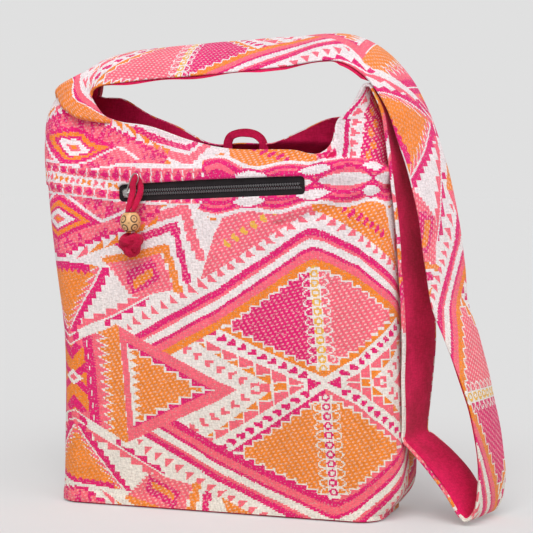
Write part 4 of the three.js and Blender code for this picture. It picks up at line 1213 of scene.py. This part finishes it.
def build_strap_cover():
    lines = strap_lines(CELL)
    total, rings = lines[4], len(lines[0])
    length = np.linspace(0, total, rings)
    sewn = smooth(length, 45, 70) * smooth(total - length, 60, 95)
    uneven = 1.3 + 0.9 * (1 - smooth(length, 500, 560)) + 0.6 * ripple(length / 14, 0, 21)
    face_shares = [*np.linspace(-0.5, -0.12, 30), *np.linspace(-0.1, 0.5, 28)]
    face = [(np.full(rings, share), np.full(rings, COVER_OUT)) for share in face_shares]
    columns = hem_columns(-1, 0.2 + sewn * uneven) + face + hem_columns(1, 0.2 + 2.8 * sewn)
    share, offset = np.array(columns).transpose(1, 2, 0)
    flat = run_length(np.stack([share[0] * STRAP_WIDTH, offset[0]], 1))
    cloth_share = np.broadcast_to((flat - flat.mean()) / STRAP_WIDTH, share.shape)
    span = np.broadcast_to(length[:, None], share.shape)
    pucker = 0.35 * ripple(span / 11, share * 9, 31) + 0.5 * ripple(span / 30, share * 4, 33)
    pucker = pucker * smooth(span, 30, 70) * smooth(total - span, 10, 50)
    points = strap_columns(lines, share, offset + pucker)
    colour = strap_tints(between_cells(span), between_cells(cloth_share))
    width = np.cumsum(np.linalg.norm(np.diff(points, axis=1, prepend=points[:, :1]), axis=-1), 1)
    cloth = np.stack([span, width], -1)
    return make_mesh("visual_strap_cover", points, grid_faces(*share.shape), JACQUARD, colour, cloth)


def build_strap_lining():
    """The lining is slack where the strap bends and peeks out along its front edge in places."""
    lines = strap_lines(3.0)
    length = np.linspace(0, lines[4], len(lines[0]))
    peek = 5.6 * window(length, 990, 1020, 1215, 1290) * (0.8 + 0.35 * ripple(length / 16, 0, 41))
    peek += 8.5 * window(length, 948, 966, 992, 1008) * (1 + 0.25 * np.sin(length / 3.2))
    peek += 2.6 * window(length, 512, 540, 620, 680) * (0.9 + 0.3 * ripple(length / 19, 0, 43))
    front = -0.5 + (1.2 - peek) / STRAP_WIDTH
    share = lerp(front[:, None], 0.48, np.linspace(0, 1, 24)[None])
    span = np.broadcast_to(length[:, None], share.shape)
    swell = 0.5 * ripple(span / 20, share * 6, 51) + 0.4 * ripple(span / 8, share * 3, 53)
    wrinkle = 1.9 + 1.9 * ripple(span / 15 + share * 2, share * 3 - span / 40, 55)
    swell += window(span, 385, 415, 478, 500) * wrinkle + 0.9 * ripple(span / 50, share * 5, 57)
    offset = -1.0 - (0.5 + swell) * np.clip(1 - (2 * share) ** 6, 0, 1)
    points = strap_columns(lines, share, offset)
    return make_mesh("visual_strap_lining", points, grid_faces(*share.shape)[:, ::-1], CRIMSON)


strap_cover = finish_piece(build_strap_cover(), "bag", "jacquard", "strap_cover")
strap_lining = finish_piece(build_strap_lining(), "bag", "crimson_cotton", "strap_lining")


# Lining: a cotton cup sewn inside the rim, with a facing strip along its top
LINING_FLOOR, LINING_INSET, POCKET_INSET = 3.7, 2.6, 8.3
LINING_STEP = 5.0
FACING_WIDTH, FACING_SEAM = 22, 2.2


def build_lining():
    along, across, nx, ny = ring_stations(LINING_STEP)
    rim = cloth_rim(along, ny)
    z = rows_to_rim(LINING_FLOOR, 60, 21, rim - ROLL_RADIUS)
    behind_pocket = POCKET_INSET + middle_depth(z) - BODY_DEPTH
    front_inset = lerp(LINING_INSET, behind_pocket, 1 - ramp(z, SHOULDER, rim))
    points = wall_point(along, across, nx, ny, z, LINING_INSET, front_inset)
    below = rim - ROLL_RADIUS - z
    seam = 1.1 * bell((below - FACING_WIDTH) / FACING_SEAM)
    soft = 1.2 * ripple(np.arange(len(rim)) * LINING_STEP / 26, z / 30, 61) * smooth(below, 2, 30)
    inward = -unit(np.stack([nx, ny, 0 * rim], -1))
    points = points + inward * (np.maximum(-0.4, soft) + seam)[..., None]
    rows, columns = z.shape
    faces = grid_faces(rows, columns, wrap_columns=True)[:, ::-1].tolist()
    faces += [[rows * columns, k, (k + 1) % columns] for k in range(columns)]
    return make_mesh("visual_lining", [*points.reshape(-1, 3), (0, 0, LINING_FLOOR)], faces, CRIMSON)


lining = finish_piece(build_lining(), "bag", "crimson_cotton", "body_lining")


# Zip: woven tapes, two rows of coil, slider, wire puller
TAPE_FACE, TAPE_THICK = 2.3, 0.8
TAPE_LENGTH, TAPE_REACH = 208.0, 14.5
COIL_LENGTH, COIL_EDGE, CLOSED_EDGE = 190.0, 0.08, 0.03
COIL_TURNS, TURN_STEPS, COIL_RADIUS = 74, 12, 0.48
SLIDER_X, SLIDER_LENGTH, SLIDER_WIDTH = -88.5, 11, 8.6
SLIDER_CORNER, SLIDER_TAPER, EDGE_SOFT = 2.6, 0.8, 0.3
WIRE_Y, WIRE_RADIUS = -2.8, 0.65
WIRE_POINTS = [
    (0, -3.2), (0, 0), (0, 3.2), (3.5, 9), (8, 15.5), (12, 19), (17, 18.5), (18.5, 14), (14, 7), (8, -1),
    (3.6, -4.6),
]
PULLER_LEAN = math.radians(27)


def build_tape(side, word):
    """One tape, slightly wavy, whose edge closes on the other one's past the coil's ends."""
    x = np.linspace(-TAPE_LENGTH / 2, TAPE_LENGTH / 2, 90)
    z = np.linspace(COIL_EDGE, TAPE_REACH, 12)
    xs, zs = np.meshgrid(x, z, indexing="ij")
    past_coil = smooth(np.abs(xs), COIL_LENGTH / 2 - 2, COIL_LENGTH / 2 + 1)
    zs = zs - (COIL_EDGE - CLOSED_EDGE) * past_coil * (zs == COIL_EDGE)
    wavy = 0.16 * ripple(xs / 9, zs / 7, 71 + side)
    front = zip_place(xs, TAPE_FACE + 0.2 + wavy, side * zs)
    rear = zip_place(xs, TAPE_FACE + TAPE_THICK + wavy, side * zs)
    return slab(f"tape_{word}", front, rear, TAPE, flip=side < 0)


def build_coil(side, word):
    """A flattened helix of nylon: each turn lies square to the zip and steps on at its sewn outer edge."""
    turn, step = np.divmod(np.arange(COIL_TURNS * TURN_STEPS), TURN_STEPS)
    phase = step / TURN_STEPS
    along = (turn + smooth(phase, 0.75, 1) + 0.5 * (side < 0)) / COIL_TURNS
    y = 1.6 - 1.0 * np.sin(2 * math.pi * phase)
    z = 1.65 + 1.1 * np.cos(2 * math.pi * phase)
    path = zip_place(lerp(-COIL_LENGTH / 2, COIL_LENGTH / 2, along), y, side * z)
    return make_mesh(f"coil_{word}", *tube(path, COIL_RADIUS, 6), COIL)


def rounded_plate(length, width, thick, corner, taper=1.0):
    """A slab with round corners and softened edges: along x, thick in y, across z."""
    outline = []
    for cx, cz, start in ((1, 1, 0), (-1, 1, 90), (-1, -1, 180), (1, -1, 270)):
        narrow = taper if cx < 0 else 1.0
        for a in np.radians(start + 18 * np.arange(6)):
            x, z = cx * (length / 2 - corner), cz * (width / 2 - corner)
            outline.append((x + corner * math.cos(a), 0, narrow * (z + corner * math.sin(a))))
    soft = min(EDGE_SOFT, width / 4)
    small = [1 - soft * 2 / length, 1, 1 - soft * 2 / width]
    rings = ((thick / 2, small), (thick / 2 - soft, 1), (soft - thick / 2, 1), (-thick / 2, small))
    points = [np.array(outline) * scale + [0, y, 0] for y, scale in rings]
    return np.concatenate(points), barrel_faces(len(rings), len(outline))


def build_slider():
    a = np.linspace(0, math.pi, 15)
    arch = np.stack([3.2 * np.cos(a), -0.9 - 2.6 * np.abs(np.sin(a)) ** 0.6, 0 * a], -1)
    bridge, bridge_faces = tube(arch, 0.62, 8)
    bridge[:, 2] *= 2.2
    parts = []
    for y, (points, faces) in (
        (-1.0, rounded_plate(SLIDER_LENGTH, SLIDER_WIDTH, 1.4, SLIDER_CORNER, SLIDER_TAPER)),
        (4.1, rounded_plate(SLIDER_LENGTH, SLIDER_WIDTH, 1.2, SLIDER_CORNER, SLIDER_TAPER)),
        (1.6, rounded_plate(5.5, 0.1, 4.4, 0.04)),
        (-0.8, (bridge, bridge_faces)),
    ):
        parts.append((points + [0, y, 0], faces))
    for side in (-1, 1):
        parts.append(tube([(-5, 0, side * 3.9), (0, 0.3, side * 4.25), (5, 0.9, side * 4.2)], 0.45, 6))
    points, faces = joined(parts)
    return make_mesh("slider_body", zip_place(*(points + [SLIDER_X, 0, 0]).T), faces, METAL)


def closed_curve(points, count):
    """Even samples of a smooth closed line through points."""
    ring = catmull([*points[-3:], *points, *points[:3]])
    return ring((3 + len(points) * np.arange(count) / count) / (len(points) + 5))


def build_puller():
    """The wire teardrop, leaning out from the wall."""
    path = closed_curve([(x, 0, z) for x, z in WIRE_POINTS], 90)
    points, faces = tube(path, WIRE_RADIUS, 10, closed=True, up=(0, 1, 0))
    x, y, z = points.T
    cosine, sine = math.cos(PULLER_LEAN), math.sin(PULLER_LEAN)
    points = zip_place(x * cosine + y * sine + SLIDER_X, y * cosine - x * sine + WIRE_Y, z)
    return make_mesh("puller_wire", points, faces, METAL)


for side, word in ((1, "upper"), (-1, "lower")):
    finish_piece(build_tape(side, word), "bag", "zip_tape", f"zip_tape_{word}")
    finish_piece(build_coil(side, word), "bag", "zip_coil", f"zip_coil_{word}")
finish_piece(build_slider(), "slider", "slider_metal", "zip_slider")
finish_piece(build_puller(), "puller", "slider_metal", "zip_puller")


# Puller pendant: doubled cord over the wire's tip, carved bead, ball knot
HINGE = np.array([-85.618, -57.725, 341.656])
HANG = np.array([-6.0, -5.0, 0])
BEAD_Z, BEAD_RADIUS, BEAD_HALF, BORE = -48.5, 10.5, 9.75, 5.2
BEAD_TOP, BEAD_FOOT = BEAD_Z + BEAD_HALF, BEAD_Z - BEAD_HALF
CARVED_DEPTH, RING_RADIUS, DOT_DROP = 0.35, 18.5, 0.1
STRAND_RADIUS, STRAND_NARROW = 3.3, 2.3
WIRE_CLEAR = 4.1
KNOT_Z, KNOT_TURN, KNOT_CORD, KNOT_CORE = -70.8, 8.3, 4.7, 9.0


def pendant_place(points):
    return zip_place(*points.T, HINGE)


def ribbed_tube(path, radius, sides, lobes, pitch, depth):
    """A soft cord: a tube whose yarns stand out as slowly twisting lobes."""
    points, faces = tube(path, radius, sides)
    twist = 2 * math.pi * run_length(path)[:, None] / pitch
    lobe = np.abs(np.cos(lobes / 2 * (circle(sides) - twist))) ** 0.7
    return swollen(path, points, 1 - depth + depth * lobe), faces


def build_cord():
    """The two strands come up out of the bead side by side and meet through the wire, below its tip."""
    z, half, twist = np.array([
        (BEAD_FOOT - 0.3, 2.4, -70), (BEAD_Z, 2.4, -70), (BEAD_TOP, 2.6, -70), (0.75 * BEAD_TOP, 3.3, -70),
        (0.45 * BEAD_TOP, 3.9, -62), (0.27 * BEAD_TOP, WIRE_CLEAR, -35),
    ]).T
    apart = np.stack([half * np.sin(np.radians(twist)), -half * np.cos(np.radians(twist)), 0 * z], -1)
    middle = np.stack([0 * z, 0 * z, z], -1) + HANG * ramp(z, 0.5 * BEAD_TOP, BEAD_TOP)[:, None]
    route = catmull([*(middle + apart), (0.4, -0.2, -WIRE_CLEAR), *(middle - apart)[::-1]])
    path = route(np.linspace(0, 1, 130))
    radius = lerp(STRAND_NARROW, STRAND_RADIUS, smooth(path[:, 2], BEAD_TOP - 1, 0.72 * BEAD_TOP))
    points, faces = ribbed_tube(path, radius, 24, 6, 70.0, 0.24)
    return make_mesh("cord_strands", pendant_place(points), faces, CORD)


def bead_marks(normal):
    """How deep the ring-and-dot carving is, by the direction from the bead's middle."""
    depth = np.zeros(normal.shape[:-1])

    def from_mark(direction):
        return np.degrees(np.arccos(np.clip(normal @ direction, -1, 1)))

    for latitude, first in ((16, -45), (-33, -40)):
        for k in range(5):
            turn = math.radians(first + 71.5 * k - 90) + CAMERA_AZIMUTH
            away = from_mark(sphere(math.radians(latitude), turn))
            ring = 1 - smooth(np.abs(away - RING_RADIUS), 2.4, 4.4)
            middle_dot = 0.85 * (1 - smooth(away, 3, 6.5))
            x, y, _ = sphere(DOT_DROP, turn + math.radians(36))
            small_dot = 0.55 * (1 - smooth(from_mark(np.array([x, y, -DOT_DROP])), 2, 5))
            depth = np.maximum.reduce([depth, ring, middle_dot, small_dot])
    return depth


def build_bead():
    top = math.acos(BORE / BEAD_RADIUS)
    turn = circle(150)
    rise, around = np.meshgrid(np.linspace(-top, top, 76), turn, indexing="ij")
    normal = sphere(rise, around)
    carved = bead_marks(normal)
    outer = normal * (BEAD_RADIUS - CARVED_DEPTH * carved)[..., None]
    outer[..., 2] *= BEAD_HALF / (BEAD_RADIUS * math.sin(top))
    z, around = np.meshgrid(np.linspace(BEAD_HALF, -BEAD_HALF, 6)[1:-1], turn, indexing="ij")
    bore = np.stack([BORE * np.cos(around), BORE * np.sin(around), z], -1)
    points = np.concatenate([outer, bore])
    # Painted shade: the bore is painted fully dark; a narrow band round each opening is darkened nearly as
    # much
    rim = np.where(np.abs(rise) > top - 0.09, 0.85, 0)
    dark = np.concatenate([np.maximum(carved, rim), np.ones(z.shape)])
    faces = grid_faces(*dark.shape, wrap_columns=True, wrap_rows=True)
    tint = np.zeros((len(faces), 4))
    tint[:, 3] = dark.reshape(-1)[faces].mean(1)
    points = points.reshape(-1, 3) + HANG + [0, 0, BEAD_Z]
    return make_mesh("bead_carved", pendant_place(points), faces, WOOD, tint)


def build_knot():
    """A ball knot: the cord goes twice round, over and under itself in three loops."""
    pole = unit(np.array([math.sin(CAMERA_AZIMUTH) - 0.12, -math.cos(CAMERA_AZIMUTH), -0.3]))
    right = unit(np.cross(pole, [0, 0, 1.0]))
    at = np.linspace(0, 2 * math.pi, 300)
    axes = np.array([right, np.cross(pole, right), pole])
    way = sphere(np.radians(50) * np.cos(3 * at), 2 * at + 0.9) @ axes
    path = (KNOT_TURN + 1.1 * np.sin(6 * at))[:, None] * way
    wound = ribbed_tube(path, KNOT_CORD * (1 + 0.05 * np.sin(7 * at)), 24, 6, 45.0, 0.3)
    rows, columns = 16, 24
    rise, turn = np.meshgrid(np.linspace(-1.5, 1.5, rows), circle(columns), indexing="ij")
    core = KNOT_CORE * sphere(rise, turn).reshape(-1, 3), barrel_faces(rows, columns)
    points, faces = joined([wound, core])
    return make_mesh("knot_wound", pendant_place(points + HANG + [0, 0, KNOT_Z]), faces, CORD)


finish_piece(build_cord(), "pendant", "crimson_cotton", "puller_cord")
finish_piece(build_bead(), "pendant", "bead_wood", "puller_bead")
finish_piece(build_knot(), "pendant", "crimson_cotton", "puller_knot")


# Closing loop, base, piping and pocket
LOOP_HALF_WIDTH, LOOP_HALF_THICK, LOOP_STITCH = 5.4, 0.9, 4.1
PIPING_Z, PIPING_RADIUS, PIPING_SIDES, PIPING_STEP = 4.4, 1.62, 12, 2.0
POCKET_HALF, POCKET_DROP, POCKET_RISE, POCKET_Y, POCKET_SWELL = 102, 152, 14.5, 5.7, 1.7
CORNER_INSET = 20

# The base in section, from the middle of its upper face round its edge to the middle of its underside:
# how far in from the wall, and how high
BASE_SECTION = (
    (70, 2.3), (46, 2.3), (34, 2.3), (20, 2.3), (10, 2.3), (4, 2.3), (1.2, 2.35), (0.35, 1.4), (0.9, 0.25),
    (4, 0.0), (12, 0.05), (30, 0.1), (70, 0.1),
)


def build_loop():
    """A folded ribbon sewn into the back rim; it turns as it rises, so its left leg shows its face."""
    at = np.linspace(0, 1, 60)
    route = catmull([(-13, 13.2, 366), (-12.6, 13.4, 375), (-9.5, 13.4, 380.5), (-2, 13.6, 383.6),
                     (8, 14, 384), (18, 14.6, 381.5), (24, 15.2, 376), (25.5, 15.4, 371), (25.5, 15.4, 366)])
    line = route(at)
    tangent = unit(np.gradient(line, axis=0))
    turn = np.radians(knots(at, [(0, 8), (0.2, 18), (0.45, 60), (0.7, 104), (1, 140)]))
    tilt = np.radians(knots(at, [(0, 0), (0.28, 42), (0.5, 56), (0.7, 40), (0.9, 0), (1, 0)]))
    across = np.stack([np.cos(turn), -np.sin(turn) * np.cos(tilt), -np.sin(turn) * np.sin(tilt)], -1)
    across = unit(across - tangent * (across * tangent).sum(-1, keepdims=True))
    normal = np.cross(tangent, across)
    cosine, sine = np.cos(circle(28)), np.sin(circle(28))
    wide = np.sign(cosine) * np.abs(cosine) ** 0.5 * LOOP_HALF_WIDTH
    thick = np.sign(sine) * np.abs(sine) ** 0.7 * LOOP_HALF_THICK
    thick = thick * (1 - 0.35 * bell((np.abs(wide) - LOOP_STITCH) / 0.5))
    points = line[:, None] + across[:, None] * wide[:, None] + normal[:, None] * thick[:, None]
    return make_mesh("loop_ribbon", points, barrel_faces(*points.shape[:2]), CRIMSON)


def foot_ring(step, inset):
    stations = ring_stations(step)
    return wall_point(*stations, np.full(stations.shape[1], WALL_BOTTOM), inset)


def build_base():
    """A canvas base, slightly dished, with its edge turned up to the piping."""
    rings = []
    for inset, height in BASE_SECTION:
        ring = foot_ring(6.0, min(inset, CORNER_INSET))
        ring[:, :2] *= 1 - max(0, inset - CORNER_INSET) / 52
        ring[:, 2] = height
        rings.append(ring)
    return make_mesh("base_canvas", np.concatenate(rings), barrel_faces(len(rings), len(rings[0])), CRIMSON)


def build_piping():
    """Bias-covered cord with fine slanting puckers, sewn round the foot of the wall."""
    path = foot_ring(PIPING_STEP, 0.0)
    path[:, 2] = PIPING_Z
    points, faces = tube(path, PIPING_RADIUS, PIPING_SIDES, closed=True)
    length, angle = np.arange(len(path))[:, None] * PIPING_STEP, circle(PIPING_SIDES)
    pucker = 1 + 0.05 * np.sin(length * 1.3 + 2 * angle) + 0.03 * np.sin(length * 0.43 - angle)
    return make_mesh("piping_cord", swollen(path, points, pucker), faces, CRIMSON)


def build_pocket():
    """The pocket behind the zip: a flat pouch with softly swollen sides."""
    x, z = np.linspace(-POCKET_HALF, POCKET_HALF, 46), np.linspace(-POCKET_DROP, POCKET_RISE, 38)
    xs, zs = np.meshgrid(x, z, indexing="ij")
    sides = (POCKET_HALF - np.abs(xs), 20), (zs + POCKET_DROP, 20), (POCKET_RISE - zs, 12)
    edge = np.minimum.reduce([ramp(away, 0, soft) for away, soft in sides])
    swell = 0.5 + 1.2 * smooth(edge, 0, 1) * (1 + 0.25 * ripple(xs / 30, zs / 30, 81))
    front, rear = (zip_place(xs, POCKET_Y + way * np.minimum(swell, POCKET_SWELL), zs) for way in (-1, 1))
    return slab("pocket_pouch", front, rear, CRIMSON)


closing_loop = finish_piece(build_loop(), "bag", "crimson_cotton", "closing_loop")
base_canvas = finish_piece(build_base(), "bag", "crimson_cotton", "base_panel")
finish_piece(build_piping(), "bag", "crimson_cotton", "base_piping")
pocket_pouch = finish_piece(build_pocket(), "bag", "crimson_cotton", "pocket_bag")


# Studio: an even dome and two wide suns, so that floor and background meet without an edge
FLOOR_ALBEDO, FLOOR_GLOW, FLOOR_REACH = 0.735, 0.25, 60000.0
DOME = 0.44
SUNS = (
    # direction towards the light, irradiance, apparent width in degrees
    ((0.1, -0.63, 0.77), 1.75, 36),
    ((0.68, -0.5, 0.54), 0.85, 60),
)


def add_sun(name, towards, power, width):
    """Adds a sun and returns the light that it sends back from a white level floor."""
    data = bpy.data.lights.new(name, "SUN")
    data.energy = power
    data.angle = math.radians(width)
    point_along(add_object(name, data), -Vector(towards))
    return Vector(towards).normalized().z * power / math.pi


def mix_seen(nodes, plain, kind, colour, share, output):
    """Shows a share of an even colour to the eye, in metal or through glass; it lights nothing."""
    path = nodes.add("ShaderNodeLightPath").outputs
    seen = nodes.math("MAXIMUM", path["Is Camera Ray"], path["Is Glossy Ray"])
    seen = nodes.math("MAXIMUM", seen, path["Is Transmission Ray"])
    even = nodes.add(kind)
    nodes.wire(colour, even.inputs["Color"])
    choose = nodes.add("ShaderNodeMixShader")
    nodes.wire(nodes.math("MULTIPLY", seen, share), choose.inputs["Fac"])
    nodes.wire(plain.outputs[0], choose.inputs[1])
    nodes.wire(even.outputs[0], choose.inputs[2])
    nodes.wire(choose.outputs[0], nodes.tree.nodes[output].inputs["Surface"])


def add_stage():
    light = DOME + sum(add_sun(f"sun_{k}", *sun) for k, sun in enumerate(SUNS))
    ground = (light * FLOOR_ALBEDO,) * 3
    nodes = new_material("pale floor")
    nodes.colour((FLOOR_ALBEDO,) * 3)
    nodes.set(Roughness=1.0, Specular_IOR_Level=0.0)
    mix_seen(nodes, nodes.surface, "ShaderNodeEmission", ground, FLOOR_GLOW, "Material Output")
    points = FLOOR_REACH * np.array([(-1, -1, 0), (1, -1, 0), (1, 1, 0), (-1, 1, 0)])
    floor = make_mesh("floor", points, [(0, 1, 2, 3)], nodes.owner, smooth_shade=False)

    bpy.context.scene.world = bpy.data.worlds.new("studio")
    nodes = Nodes(bpy.context.scene.world)
    dome = nodes.tree.nodes["Background"]
    nodes.wire((DOME,) * 3, dome.inputs["Color"])
    mix_seen(nodes, dome, "ShaderNodeBackground", ground, 1.0, "World Output")
    bpy.context.scene.view_settings.view_transform = "Standard"


add_stage()

SLOT_MATERIALS = {
    "jacquard": JACQUARD, "crimson_cotton": CRIMSON, "zip_tape": TAPE, "zip_coil": COIL,
    "slider_metal": METAL, "bead_wood": WOOD,
}
for subpart in frame["record"]["subparts"]:
    mesh = frame["nodes"][subpart["node"]].data
    mesh.materials.clear()
    mesh.materials.append(SLOT_MATERIALS[subpart["material_slot"]])
